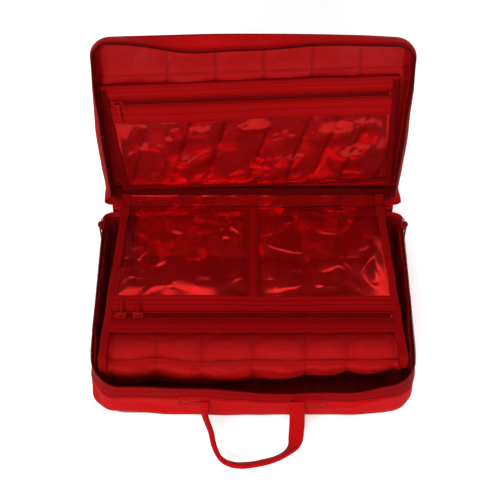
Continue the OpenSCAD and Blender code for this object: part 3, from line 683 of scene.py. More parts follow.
def satin(name, base, rough=0.42):
    """Quilting satin: a fine twill as a sine of the two UVs' sum, puckers that gather at the seams, and
    sewn lines darkened partly as dirt and partly as painted shade; also painted shade where it is laid on."""
    f = Finish(name)
    where, u, v = f.uv()
    spot = f.place()
    seam = f.seam()
    twill = ((u + v) * (PI / (0.5 * MM))).sine()
    pucker = f.noise(where, 75.0, 4.0, 0.6)
    cloud = f.noise(spot, 10.0)
    tone = f.mix(cloud * 0.7, dyed(base, 0.8), dyed(base, 1.2))
    # darker along sewn lines (partly dirt, partly painted shade) and where painted shade is laid on
    tone = f.mix(seam * 0.5, tone, dyed(base, 0.2))
    height = pucker * (0.5 + seam * 2.5) + twill * 0.05
    shader = f.surface(
        tone, rough + cloud * 0.12, height, 0.9 * MM, 0.6,
        Sheen_Weight=0.06, Sheen_Roughness=0.35, Sheen_Tint=GLOW,
        Specular_IOR_Level=0.45, Specular_Tint=GLOW,
    )
    return f.done(shader)


def ribbed(name, base, pitch, rough=0.55, relief=0.25 * MM, cross=0.0):
    """Edge tape and webbing: ribs as a sine along the piece, crossed by finer threads, with fuzz; darker in
    the rib valleys as painted shade, and along sewn lines partly as dirt and partly as painted shade.
    """
    f = Finish(name)
    _, u, v = f.uv()
    spot = f.place()
    rib = (v * (2 * PI / pitch)).sine()
    thread = (u * (2 * PI / (pitch * 0.8)) + (v * (2 * PI / (pitch * 2))).sine() * cross).sine()
    fuzz = f.noise(spot, 700.0, 2.0)
    cloud = f.noise(spot, 18.0)
    tone = f.mix(cloud * 0.8, dyed(base, 0.75), dyed(base, 1.22))
    # painted shade: darker in the valleys between the ribs, and along sewn lines (partly dirt too)
    tone = f.mix(f.seam() * 0.7 + (1 - rib) * 0.12, tone, dyed(base, 0.3))
    shader = f.surface(
        tone, rough + fuzz * 0.15, rib * 0.5 + thread * 0.4 + fuzz * 0.4, relief, 0.6,
        Sheen_Weight=0.04, Sheen_Roughness=0.5, Sheen_Tint=GLOW,
        Specular_IOR_Level=0.07, Specular_Tint=GLOW,
    )
    return f.done(shader)


def lacquer(name, base, rough, coat):
    """Painted metal or moulded nylon: orange peel, and rubbed patches in colour and roughness."""
    f = Finish(name)
    spot = f.place()
    peel, rub = f.noise(spot, 900.0, 2.0), f.noise(spot, 120.0)
    tone = f.mix(rub * 0.8, dyed(base, 0.7), dyed(base, 1.3))
    shader = f.surface(
        tone, rough + rub * 0.2, peel, 0.05 * MM, 0.4,
        Coat_Weight=coat, Coat_Roughness=0.15, Coat_Tint=GLOW,
        Specular_IOR_Level=0.12, Specular_Tint=GLOW,
    )
    return f.done(shader)


def plain(name, base, rough, scale, relief, glow=0.0):
    """Foam, board and floor: one colour with grain of one scale; the floor also shines a little."""
    f = Finish(name)
    spot = f.place()
    grain, cloud = f.noise(spot, scale), f.noise(spot, scale / 30)
    tone = f.mix(cloud * 0.6, dyed(base, 0.93), dyed(base))
    shader = f.surface(
        tone, rough + grain * 0.1, grain, relief, 0.4,
        Specular_IOR_Level=0.3, Emission_Color=dyed(base), Emission_Strength=glow,
    )
    return f.done(shader)


def vinyl(name):
    """Clear sheet: lets light straight through and mirrors more at glancing angles, with faint haze and a
    tint from the cloth round it."""
    f = Finish(name)
    spot = f.place()
    haze = f.noise(spot, 30.0)
    wave = f.noise(spot, 60.0, 2.0)
    gloss = f.surface(MIRROR, 0.085 + haze * 0.15, wave, 0.6 * MM, 0.12, Metallic=1.0, Specular_Tint=GLOW)
    clear = f.node("BsdfTransparent", None, {0: (0.9, 1.0, 1.0, 1.0)})
    facing = f.node("LayerWeight", None, {0: 0.5}, 1)
    share = facing**3 * 0.55 + 0.105 + haze * 0.05
    return f.done(f.node("MixShader", None, {0: share, 1: clear, 2: gloss}))


FINISH = {}


def make_finishes(colours, sizes):
    """Every finish under its own name: woven with thread, roughness, relief and sheen, satin with
    roughness, ribbed with pitch, roughness, relief and cross threads, lacquer with roughness and coat,
    plain with roughness, grain, relief and glow."""
    cloth, lining = colours.cloth, colours.lining
    for kind, name, *values in (
        (woven, "outer_cloth", cloth, sizes.weave, 0.55, 0.25 * MM, 0.03),
        (satin, "quilted_cloth", lining),
        # painted light: lining at 1.3 brightness behind the lid's clear pocket
        (satin, "pocket_lining", dyed(lining, 1.3)),
        (satin, "plain_lining", dyed(lining, 0.8), 0.5),
        # painted shade: lining at 0.45 for the lid's inner walls and the hinge, which lie in shade
        (satin, "gusset_cloth", dyed(lining, 0.45), 0.6),
        # painted shade: binding at half brightness for the zip ends and the pocket's sides and foot, in shade
        (ribbed, "shaded_binding", dyed(colours.binding, 0.5), 1.1 * MM),
        # painted shade: outer cloth at 0.7 for the lid pocket's bands and the flap's rear band, which lie in
        # shade
        (woven, "band_cloth", dyed(cloth, 0.7), sizes.weave * 0.8, 0.5, 0.2 * MM, 0.06),
        # painted shade: outer cloth at 0.57 for the flap's middle strip, front band and hinge tapes
        (woven, "strip_cloth", dyed(cloth, 0.57), sizes.weave * 0.8, 0.5, 0.2 * MM, 0.06),
        (ribbed, "binding_cloth", colours.binding, 1.1 * MM),
        (ribbed, "zip_tape", colours.tape, 0.8 * MM, 0.6, 0.15 * MM, 1.2),
        (ribbed, "webbing", colours.strap, 1.9 * MM, 0.58, 0.45 * MM, 1.8),
        (lacquer, "thread", dyed(cloth, 0.7), 0.6, 0.0),
        (lacquer, "zip_coil", colours.coil, 0.4, 0.05),
        (lacquer, "pocket_coil", dyed(colours.coil, 2.6), 0.45, 0.0),
        (lacquer, "zip_metal", colours.enamel, 0.45, 0.03),
        (plain, "wall_foam", (0.32, 0.30, 0.29), 0.85, 900.0, 0.4 * MM),
        (plain, "stiff_board", (0.22, 0.18, 0.15), 0.7, 500.0, 0.2 * MM),
        (vinyl, "clear_vinyl"),
        (plain, "floor_paint", colours.floor, 0.9, 300.0, 0.02 * MM, 0.35),
    ):
        FINISH[name] = kind(name, *values)


# quilting


def seam_gap(x, pitch, shift=14 * MM):
    """Distance to the nearest of the upright sewn lines."""
    t = (x - shift) / pitch
    return np.abs(t - np.round(t)) * pitch


def line_gap(y, lines):
    """Distance to the nearest of a few level sewn lines."""
    return np.abs(np.subtract.outer(y, np.asarray(lines))).min(-1)


def pillow(gap_a, gap_b, soft=13 * MM):
    """Quilting height from 0 to 1: the product of the rises from both kinds of seam."""
    return risen(gap_a, soft) * risen(gap_b, soft)


def swollen(name, grid, held, pressure, grow, cap, frames=18, calm=8):
    """A sewn sheet blown up between its seams by Blender's cloth: held points stay, the rest swell and
    wrinkle; the moves are evened out between neighbours and stay within cap."""
    skin = Skin()
    skin.quads(skin.add(grid), skin.uv_of(grid))
    piece = skin.make(name + "_blown", "quilted_cloth")
    group = piece.vertex_groups.new(name="held")
    group.add([int(i) for i in np.flatnonzero(held)], 1.0, "REPLACE")
    cloth = piece.modifiers.new("Cloth", "CLOTH")
    c = cloth.settings
    c.quality, c.mass, c.air_damping = 5, 0.15, 2.0
    c.tension_stiffness = c.compression_stiffness = 12.0
    c.shear_stiffness, c.bending_stiffness = 4.0, 0.6
    c.vertex_group_mass = "held"
    c.shrink_min, c.shrink_max = -grow, -grow
    c.use_pressure, c.uniform_pressure_force = True, pressure
    c.effector_weights.gravity = 0.0
    cloth.collision_settings.use_collision = False
    cloth.point_cache.frame_start, cloth.point_cache.frame_end = 1, frames
    scene = bpy.context.scene
    for f in range(1, frames + 1):
        scene.frame_set(f)
    shown = piece.evaluated_get(bpy.context.evaluated_depsgraph_get()).to_mesh()
    co = np.zeros(len(shown.vertices) * 3)
    shown.vertices.foreach_get("co", co)
    bpy.data.objects.remove(piece)
    scene.frame_set(1)
    move = co.reshape(grid.shape) - grid
    inner = move[1:-1, 1:-1]
    for _ in range(calm):
        beside = move[:-2, 1:-1] + move[2:, 1:-1] + move[1:-1, :-2] + move[1:-1, 2:]
        inner[:] = (2 * inner + beside) / 6
        move[held] = 0
    far = np.linalg.norm(move, axis=-1, keepdims=True)
    return grid + move * np.minimum(1, cap / np.maximum(far, 1e-9))


# operators


def begin(context):
    """Makes the finishes once and gives the sizes."""
    if not FINISH:
        make_finishes(context.scene.case_colours, context.scene.case_sizes)
    return context.scene.case_sizes


class BaseShell(bpy.types.Operator):
    """Bottom, slumped wall, foam, lining and quilted floor of the base"""

    bl_idname = "case.base_shell"
    bl_label = "Base shell"

    def execute(self, context):
        sizes = begin(context)
        x, y, _, deep = plan_grid(FOOT_IN, 60, 40, FOOT_R)
        edge = smooth((HALF_W - FOOT_IN - np.abs(x)) / (9 * MM)) * smooth(deep / (9 * MM))
        lift = FOOT_LIFT * (1 - edge)
        tuck = drawn_foot(x, y)
        x, y = x - np.sign(x) * tuck, y + 0.5 * tuck * smooth((-y - 0.1) / 0.05)
        bottom = Skin().sheet(stack(x, y, CLOTH + lift), stack(x, y, lift))
        placed(bottom, "bottom_cloth", "outer_cloth", "base", "outer_cloth", "base_panel")

        # wall: rises to the zip tape along the sides and front, and to the hinge at the rear
        top = WALL_TOP + 16.5 * MM * past_zip(RING)
        rise = np.concatenate([row(0, 0.12, 5)[:, :-1], row(0.12, 1, 22)], 1)
        height = FOOT_LIFT + rise * (top - FOOT_LIFT)
        seam = hill(height, top - 2.2 * MM, 0.7 * MM) + hill(height, 5.5 * MM, 1.2 * MM)
        wall = Skin().band(*both(slumped, RING, height, (0.0, CLOTH)), seam)
        placed(wall, "wall_cloth", "outer_cloth", "base", "outer_cloth", "base_wall")

        height = row(2.4 * MM, 59.4 * MM, 12)
        foam = Skin().band(*both(slumped, RING, height, (1.8 * MM, 3.9 * MM)))
        placed(foam, "wall_padding", "wall_foam", "base", "wall_foam", "base_wall_foam")

        # lining: up the inside with upright sewn lines, then folded over the foam to the wall
        rise = row(0, 1, 26)
        fold = smooth((rise - 0.9) / 0.1)
        height = 4.2 * MM + np.minimum(rise / 0.92, 1) * 56.6 * MM + 0.6 * MM * np.sin(PI * fold)
        gap = seam_gap(RING, sizes.quilt_pitch)
        puff = 1.6 * MM * risen(gap, 9 * MM) * np.sin(PI * np.clip(rise * 1.02, 0, 1)) ** 0.5
        inset = 4.9 * MM - 3.0 * MM * fold + puff * (1 - fold)
        face = slumped(RING, height, inset)
        back = slumped(RING, height - 0.5 * MM * fold, inset - 0.7 * MM * (1 - 0.7 * fold))
        lining = Skin().band(back, face, hill(gap, 0, 1.6 * MM))
        placed(lining, "wall_lining_cloth", "plain_lining", "base", "plain_lining", "base_wall_lining")

        x, y, wide, deep = plan_grid(6.4 * MM, 130, 84, FOOT_R + 6 * MM)
        gap = seam_gap(x, sizes.quilt_pitch)
        rows = line_gap(y, np.arange(-2, 3) * sizes.quilt_pitch - 0.02)
        puff = pillow(gap, rows) * (smooth(wide / (12 * MM)) * smooth(deep / (12 * MM)))
        x = x - 0.8 * np.sign(x) * drawn_foot(x, y)
        quilt = stack(x, y, 8.0 * MM + 4.2 * MM * puff)
        floor = Skin().sheet(quilt, stack(x, y, 4.2 * MM), hill(np.minimum(gap, rows), 0, 1.6 * MM))
        floor = placed(floor, "floor_quilt", "quilted_cloth", "base", "quilted_cloth", "base_lining")

        tabs, foot, tall = Skin(), 45 * MM, 28.3 * MM
        for side in (-1, 1):
            s = side * column(run_to(WALL_END), run_to(HALF_D - REAR_R), 8)[::side]
            h = row(foot, foot + tall, 12)
            swell = 0.3 * MM * np.sin(PI * (h - foot) / tall)
            tabs.sheet(*both(slumped, s, h, (-1.3 * MM - swell, 0.1 * MM)))
        # the zip ends take the darker binding as painted shade
        placed(tabs, "zip_end_cloth", "shaded_binding", "base", "binding_cloth", "zip_end_tabs")
        return {"FINISHED"}


class MainZip(bpy.types.Operator):
    """Both halves of the zip round the case: tapes, coil rows and end stops"""

    bl_idname = "case.main_zip"
    bl_label = "Perimeter zip"

    def execute(self, context):
        pitch = begin(context).coil_pitch
        end, half = run_to(WALL_END), run_to(ZIP_END)
        s = column(-end, end, 360)
        h = row(TAPE_FOOT, TAPE_TOP, 27)
        seam = hill(h, WALL_TOP, 1.3 * MM) + 0.6 * hill(h, 66.5 * MM, 0.7 * MM)
        tape = Skin().sheet(*both(slumped, s, h, TAPE_FACES), seam)
        placed(tape, "base_tape_knit", "zip_tape", "base", "zip_tape", "base_zip_tape")

        line = np.linspace(-half, half, 900)
        _, _, nx, ny = around(line)
        path, out = slumped(line, 73.0 * MM, COIL_IN), stack(nx, ny, 0.0)
        turns = coil(Skin(), path, out, UP, 1.1 * MM, 1.05 * MM, wire=0.4 * MM, pitch=pitch)
        placed(turns, "base_coil_turns", "zip_coil", "base", "zip_coil", "base_zip_coil")

        v = row(3.0 * MM, 10.6 * MM, 7)
        seam = hill(v, 9.0 * MM, 0.8 * MM) + 0.5 * hill(v, 5.0 * MM, 0.6 * MM)
        tape = Skin().sheet(*both(lid_wall, s, v, TAPE_FACES), seam)
        placed(tape, "lid_tape_knit", "zip_tape", "lid", "zip_tape", "lid_zip_tape")

        path, out = lid_wall(line, 2.0 * MM, COIL_IN), stack(nx, 0.0, -ny)
        turns = coil(Skin(), path, out, REAR, 1.2 * MM, 1.1 * MM, wire=0.42 * MM, pitch=pitch, start=PI)
        placed(turns, "lid_coil_turns", "zip_coil", "lid", "zip_coil", "lid_zip_coil")

        base_clips, lid_clips, section = Skin(), Skin(), oblong(2.4 * MM, 2.6 * MM, 0.6 * MM)
        for side in (-1, 1):
            s = side * np.linspace(half, end, 5)[::side]
            base_clips.tube(carried(slumped(s, 73.1 * MM, COIL_IN), RIGHT, UP, section))
            lid_clips.tube(carried(lid_wall(s, 1.9 * MM, COIL_IN), RIGHT, side * REAR, section))
        placed(base_clips, "base_stop_clips", "zip_metal", "base", "zip_metal", "base_zip_stops")
        placed(lid_clips, "lid_stop_clips", "zip_metal", "lid", "zip_metal", "lid_zip_stops")
        return {"FINISHED"}


LID_SEAMS = (-116 * MM, -51 * MM, 14 * MM, 79 * MM, 144 * MM)
LID_ROWS = (-20 * MM, 40 * MM, 105 * MM, 170 * MM, 242.5 * MM, 320 * MM)
LID_TILT = 0.042  # slope of the sewn rows


class LidShell(bpy.types.Operator):
    """Panel, wall, board, wall lining and quilted lining of the lid"""

    bl_idname = "case.lid_shell"
    bl_label = "Lid shell"

    def execute(self, context):
        sizes = begin(context)
        x, y, wide, deep = plan_grid(1.5 * MM, 90, 64, LID_R)
        edge = np.minimum(wide, deep)
        round_off = 2.2 * MM * (1 - smooth(edge / (7 * MM)))
        crown = 2.6 * MM * smooth(edge / (90 * MM))
        crown = crown + 0.8 * MM * ripple(x, y, 0.13, 31) * smooth(edge / (30 * MM))
        v = LID_H - round_off + crown
        panel = Skin().sheet(*both(propped, x, y, (v, v - 1.5 * MM)), hill(edge, 6 * MM, 1.2 * MM))
        placed(panel, "lid_panel_cloth", "outer_cloth", "lid", "outer_cloth", "lid_panel")

        x, y, _, _ = plan_grid(LINING_IN, 60, 40, LID_R)
        board = Skin().sheet(*both(propped, x, y, LID_BOARD))
        placed(board, "lid_stiffener", "stiff_board", "lid", "stiff_board", "lid_board")

        start = 8.6 * MM - 7.0 * MM * past_zip(RING)
        rise = np.concatenate([row(0, 0.85, 16), row(0.85, 1, 6)[:, 1:]], 1)
        v = start + rise * (38.6 * MM - start)
        seam = hill(v, start + 2.2 * MM, 0.8 * MM) + hill(v, 33.5 * MM, 1.0 * MM)
        wall = Skin().band(*both(lid_wall, RING, v, (0.0, CLOTH)), seam)
        placed(wall, "lid_wall_cloth", "outer_cloth", "lid", "outer_cloth", "lid_wall")

        v = row(15 * MM, 36 * MM, 12)
        gap = seam_gap(RING, sizes.quilt_pitch)
        puff = 1.0 * MM * risen(gap, 9 * MM) * np.sin(PI * (v - 15 * MM) / (21 * MM))
        faces = both(lid_wall, RING, v, (1.9 * MM, 2.7 * MM + puff))
        lining = Skin().band(*faces, hill(gap, 0, 1.6 * MM))
        # painted shade: the dark lining stands for the shade inside the lid's walls
        placed(lining, "lid_wall_lining_cloth", "gusset_cloth", "lid", "plain_lining", "lid_wall_lining")

        # quilted lining: swells between its sewn lines, and faces the viewer
        x, y, wide, deep = plan_grid(LINING_IN, 190, 124, LID_R)
        level = HINGE[1] - y - LID_TILT * x
        gap, rows = line_gap(x, LID_SEAMS), line_gap(level, LID_ROWS)
        sewn, edge = np.minimum(gap, rows), np.minimum(wide, deep)
        fore = smooth((0.254 - level) / 0.018) * smooth((level - 0.2225) / 0.004)
        swell = 2.0 * MM + 2.4 * MM * pillow(gap, rows) + 4.2 * MM * fore
        face = propped(x, y, 35.0 * MM - swell * smooth(edge / (9 * MM)))
        held = (sewn < 1.3 * MM) | (edge < 6 * MM)
        face = swollen("lid_quilt", face, held, pressure=2.5, grow=0.02, cap=2.6 * MM)
        # behind the pocket it stays clear of the pocket's back
        face[..., 1] = np.maximum(face[..., 1], 178.8 * MM - 7 * MM * smooth((level - 0.222) / 0.006))
        # painted shade: darker at both sides below the pocket's hem, where the curled side rims shade the
        # quilting
        shade = smooth((np.abs(x) - 0.18) / 0.02) * smooth((0.225 - level) / 0.02)
        seam = np.maximum(hill(sewn, 0, 1.8 * MM), shade)
        quilt = Skin().sheet(propped(x, y, LID_QUILT), face, seam)
        quilt = placed(quilt, "lid_quilt", "quilted_cloth", "lid", "quilted_cloth", "lid_lining")
        return {"FINISHED"}


# flat pockets

POCKET_ALONG = unit(np.array(joint("lid_pocket_slide")["axis"]))  # along the lid pocket's zip
POCKET_UP = np.array([-POCKET_ALONG[2], 0.0, POCKET_ALONG[0]])
POCKET_AT = np.array(
    [0.0, low("lid_pocket_band_upper")[1], (low("lid_pocket_back")[2] + high("lid_pocket_back")[2]) / 2]
)
POCKET_W, POCKET_H = 194 * MM, 106 * MM  # half its width and height
POCKET_ZIP, POCKET_CLEAR = 75.8 * MM, 35.6 * MM  # heights of the zip and of the window's upper seam
POCKET_SEAMS = (
    (POCKET_CLEAR + 2.5 * MM, POCKET_CLEAR + 17 * MM, POCKET_ZIP - 11 * MM),
    (POCKET_ZIP + 11 * MM, POCKET_H - 10 * MM),
)
SLANTS = np.array((-195, -145, -89, -42, 16, 67, 104, 142, 192)) * MM
LEAN = 0.29  # of the slanting lines, 17 degrees
BAND_GAP = 8.6 * MM  # from the middle of a pocket's zip to the bands beside it


def on_pocket(a, b, c):
    """Lid pocket: a along its zip, b up it and c towards the viewer, from the middle of its face, with
    the sheet's slow waves."""
    quiet = 1 - hill(b, POCKET_ZIP, 14 * MM)
    c = c + 0.7 * MM * ripple(a, b, 0.2, 41) * quiet * smooth((POCKET_H - np.abs(b)) / (8 * MM))
    a, b = np.asarray(a)[..., None], np.asarray(b)[..., None]
    return POCKET_AT + a * POCKET_ALONG + b * POCKET_UP + c[..., None] * FORE


def slant_gap(a, b):
    """Distance to the nearest of the pocket's slanting sewn lines."""
    return line_gap(a * math.cos(LEAN) - b * math.sin(LEAN), SLANTS)


def crumpled(a, b, seed, size):
    """Dents of a clear sheet: broad bumps, facets that meet in creases where bent slow waves change sign,
    small buckles beside the creases, and narrow welts along level lines of another wave."""
    slow = ripple(a, b * 1.2, 0.095, seed)
    bend = 0.012 * ripple(a, b, 0.07, seed + 1)
    one = np.abs(ripple(a + 0.014 * slow, b + bend, 0.10, seed + 2))
    two = np.abs(ripple(a - bend, b * 1.3 + 0.01 * slow, 0.065, seed + 4))
    small = ripple(a, b, 0.028, seed + 3)
    welt = hill(ripple(a + bend, b - 0.01 * slow, 0.09, seed + 6), 0.3, 0.11)
    welt = welt * smooth(0.4 + ripple(a, b, 0.12, seed + 7))
    one, two = one / (0.6 + one), two / (0.6 + two)
    return size * (0.35 + 0.7 * slow - 1.3 * one + 0.7 * two + 0.04 * small * (1 - one) + 0.42 * welt)


def window(place, a0, a1, b0, b1, dents, behind):
    """A clear sheet between four sewn edges: flat at the edges, dented inside them, and held clear of
    what is behind it by a soft maximum."""
    thick, grain, soft = 0.5 * MM, 1.25 * MM, 0.5 * MM
    a, b = column(a0, a1, int((a1 - a0) / grain)), row(b0, b1, int((b1 - b0) / grain))
    near = np.minimum(np.minimum(a - a0, a1 - a), np.minimum(b - b0, b1 - b))
    c, least = dents(a, b) * smooth(near / (20 * MM)), behind(a, b, near)
    c = (c + least + np.sqrt((c - least) ** 2 + soft**2)) / 2
    c = c * smooth(near / (5 * MM))
    return Skin().sheet(place(a, b, c), place(a, b, c - thick))


def strip(skin, place, a0, a1, b0, b1, seams, c, thick, swell):
    """A flat sewn strip at height c: its face swells between the lines sewn along it."""
    a = column(a0, a1, max(6, int((a1 - a0) / (2.5 * MM))))
    b = row(b0, b1, max(9, int((b1 - b0) / (0.9 * MM))))
    gap = line_gap(b, (*seams, b0, b1))
    lift = swell * risen(gap, 2.2 * MM) * (1 + 0.25 * ripple(a, b, 0.03, 51))
    seam = hill(line_gap(b, seams), 0, 0.8 * MM)
    return skin.sheet(place(a, b, c + lift), place(a, b, c - thick), seam)


def flat_zip(name, node, body, pitch, knit, line, across, face, middle, half, reach, end):
    """Zip of a pocket: two knitted strips laid by knit, and by line two coil rows whose turns lie between
    each other's and a metal clip at each end."""
    tape, turns, clips = Skin(), Skin(), Skin()
    a = np.linspace(-end, end, 120)
    for side in (-1, 1):
        b0, b1 = sorted((middle + side * 4.0 * MM, middle + side * reach))
        seams = (middle + side * 6.4 * MM,)
        strip(tape, knit, -half, half, b0, b1, seams, c=-0.1 * MM, thick=0.7 * MM, swell=0.2 * MM)
        path = line(a, middle + side * 1.7 * MM, -0.7 * MM)
        coil(turns, path, across, face, 1.5 * MM, 0.95 * MM, 0.32 * MM, pitch, PI * (side > 0))
        path = line(side * np.linspace(end + 0.2 * MM, end + 3.0 * MM, 4), middle, -0.4 * MM)
        bar(clips, path, across, face, 6.2 * MM, 2.4 * MM, 0.7 * MM)
    placed(tape, name + "_tape_knit", "zip_tape", body, "zip_tape", node + "_tape")
    placed(turns, name + "_coil_turns", "pocket_coil", body, "zip_coil", node + "_coil")
    placed(clips, name + "_stop_clips", "zip_metal", body, "zip_metal", node + "_stops")


class LidPocket(bpy.types.Operator):
    """Clear pocket in the lid: back, bands, bindings, window, zip"""

    bl_idname = "case.lid_pocket"
    bl_label = "Lid pocket"

    def execute(self, context):
        sizes = begin(context)
        w, h = POCKET_W, POCKET_H
        a, b = column(-w, w, 240), row(-h, h, 132)
        gap = slant_gap(a, b)
        puff = risen(gap, 8 * MM) * (0.9 + 0.35 * ripple(a, b, 0.06, 61))
        near = np.minimum(w - np.abs(a), h - np.abs(b))
        seam = 1.3 * hill(gap, 0, 2.4 * MM) * smooth(near / (8 * MM))
        c = 3.0 * MM * puff * smooth(near / (12 * MM)) * smooth((POCKET_CLEAR - b + 6 * MM) / (10 * MM))
        back = Skin().sheet(on_pocket(a, b, -3.9 * MM + c), on_pocket(a, b, -4.4 * MM), seam)
        back = placed(
            back, "pocket_back_quilt", "pocket_lining", "lid", "quilted_cloth", "lid_pocket_back"
        )

        def dents(a, b):
            """Domes between the slanting lines where the sheet lies loose, crumples, and small waves."""
            dome = 1 - (1 - np.minimum(slant_gap(a, b) / (25 * MM), 1)) ** 2
            lies = 3.0 * MM * dome * smooth(0.8 + ripple(a, b, 0.09, 75))
            lies = lies + crumpled(a, b, 71, 0.85 * sizes.crumple) + 2.3 * MM * ripple(a * 0.8, b, 0.058, 77)
            return lies * smooth((w - np.abs(a)) / (50 * MM))

        def behind(a, b, near):
            """Height of the quilted back, with room above it."""
            return -3.0 * MM + 3.5 * MM * risen(slant_gap(a, b), 8 * MM) * smooth((near + 6 * MM) / (12 * MM))

        hem = 6 * MM
        clear = window(on_pocket, hem - w, w - hem, hem - h, POCKET_CLEAR + 3 * MM, dents, behind)
        clear = placed(
            clear, "pocket_window_sheet", "clear_vinyl", "lid", "clear_vinyl", "lid_pocket_window"
        )

        half = w - 7.5 * MM
        for name, node, b0, b1, seams, tall in (
            ("lower", "lid_pocket_band_lower", POCKET_CLEAR, POCKET_ZIP - BAND_GAP, POCKET_SEAMS[0], 31.6),
            ("upper", "lid_pocket_band_upper", POCKET_ZIP + BAND_GAP, h - 4 * MM, POCKET_SEAMS[1], 17.6),
        ):
            band = strip(
                Skin(), on_pocket, -half, half, b0, b1, seams, c=0.6 * MM, thick=1.6 * MM, swell=1.0 * MM
            )
            band = placed(band, f"pocket_{name}_band", "band_cloth", "lid", "outer_cloth", node)

        flat_zip(
            "pocket", "lid_pocket_zip", "lid", sizes.coil_pitch, on_pocket, on_pocket, POCKET_UP, FORE,
            middle=POCKET_ZIP, half=w - 8 * MM, reach=9.4 * MM, end=182.4 * MM,
        )

        # the pocket's side tapes and foot take the darker binding as painted shade
        b = np.linspace(-h + 4 * MM, h - 4 * MM, 90)
        for name, side in (("left", -1), ("right", 1)):
            wander = 0.5 * MM * ripple(b, 0.0, 0.06, 81 + side)
            path = on_pocket(side * (w - 3.6 * MM) + wander, b, -1.5 * MM)
            edge = bar(Skin(), path, POCKET_ALONG, FORE, 9.4 * MM, 5.6 * MM, 2.0 * MM)
            node = "lid_pocket_binding_" + name
            placed(edge, f"pocket_{name}_tape", "shaded_binding", "lid", "binding_cloth", node)
        a = np.linspace(-w - 0.5 * MM, w + 0.5 * MM, 160)
        wander = 0.6 * MM * ripple(a, 0.0, 0.07, 91)
        for name, finish, at, wide, tall in (
            ("hem", "binding_cloth", h - 2.6 * MM, 8.4 * MM, 5.0 * MM),
            ("foot", "shaded_binding", -h + 2.6 * MM, 6.4 * MM, 4.4 * MM),
        ):
            path = on_pocket(a, at + wander, -1.4 * MM)
            edge = bar(Skin(), path, POCKET_UP, FORE, wide, tall, 2.0 * MM)
            placed(edge, f"pocket_{name}_tape", finish, "lid", "binding_cloth", "lid_pocket_" + name)
        return {"FINISHED"}


FLAP_REAR, FLAP_FOLD = float(high("flap_pad")[1]), float(low("flap_pad")[1])
FLAP_FACE = float(high("flap_band_rear")[2])
FLAP_ZIP = float((low("flap_zip_coil")[1] + high("flap_zip_coil")[1]) / 2)
FLAP_CLEAR = float(high("flap_band_rear")[1])  # front end of the clear pockets
FLAP_LIP = FLAP_FOLD - 3 * MM  # sewn fold where the hanging edge starts
FLAP_OPEN = -63 * MM  # rear end of the open quilted row
FLAP_PINCHED = -80 * MM  # from here to the fold the row follows the fold's wander
FLAP_TURN = 141.8 * MM  # hinge
FLAP_TAPES = 131 * MM  # rear end of the side tapes and threads, short of the hinge
FLAP_END = 147.6 * MM  # rear end of the sheets that run on over the hinge
FLAP_HANG = 37 * MM  # length of the hanging edge
FLAP_SEAMS = np.array((-187, -128, -68, 0, 69, 124, 186)) * MM
FLAP_BAND_SEAMS = (
    (FLAP_ZIP + 11 * MM, FLAP_ZIP + 17.5 * MM, FLAP_CLEAR - 6 * MM),
    (-60 * MM, FLAP_ZIP - 11 * MM),
)
STRIP_SEAMS = (-5.4 * MM, 5.4 * MM)
TAPE_W, TAPE_IN = 12.5 * MM, 4.4 * MM  # side tapes, and how far their middle lies inside the flap's edge
FLAP_BEND = ((0, 0.1495, 0.0775), (0, 0.1375, 0.0775))  # where a sheet passes from base to flap


def flap_half(y):
    """Half width of the flap, which widens in a straight line from the hinge to the fold."""
    rear, fold = high("flap_rear_binding")[0], high("flap_pad")[0]
    return rear + (fold - rear) * (FLAP_TURN - y) / (FLAP_TURN - FLAP_FOLD)


def fold_wander(x):
    """How far the sewn fold strays to the rear, pinched back at one seam and forward at the next."""
    pinched = 3.2 * MM * hill(x, -0.128, 0.026) - 3.0 * MM * hill(x, -0.066, 0.032)
    return pinched + 0.8 * MM * ripple(x, 0.0, 0.07, 105)


def on_flap(x, y, c):
    """Flap: x across, y to the rear and c up from the face of its pockets; quiet along the zip, slow
    waves elsewhere."""
    quiet = 1 - hill(y, FLAP_ZIP, 16 * MM)
    wave = 1.3 * ripple(x, y, 0.19, 101) - 1.5 * hill(x, 0.03, 0.09) * hill(y, 0.05, 0.07)
    return stack(x, y, FLAP_FACE + c + wave * quiet * MM)


def on_flap_wide(a, b, c):
    """Flap, with a from -0.2 at its left edge to 0.2 at its right edge."""
    return on_flap(a / 0.2 * (flap_half(b) - 5 * MM), b, c)


def hung(t, turn, bend):
    """Hanging edge, t from 0 at the fold to 1 at its lip: an arc of radius bend through the angle turn,
    then straight on. Gives the distances forward and down, and the angle reached."""
    arc = np.minimum(t * FLAP_HANG / bend, turn)
    rest = np.maximum(t * FLAP_HANG - bend * turn, 0)
    fore = bend * np.sin(arc) + rest * np.cos(turn)
    return fore, bend * (1 - np.cos(arc)) + rest * np.sin(turn), arc


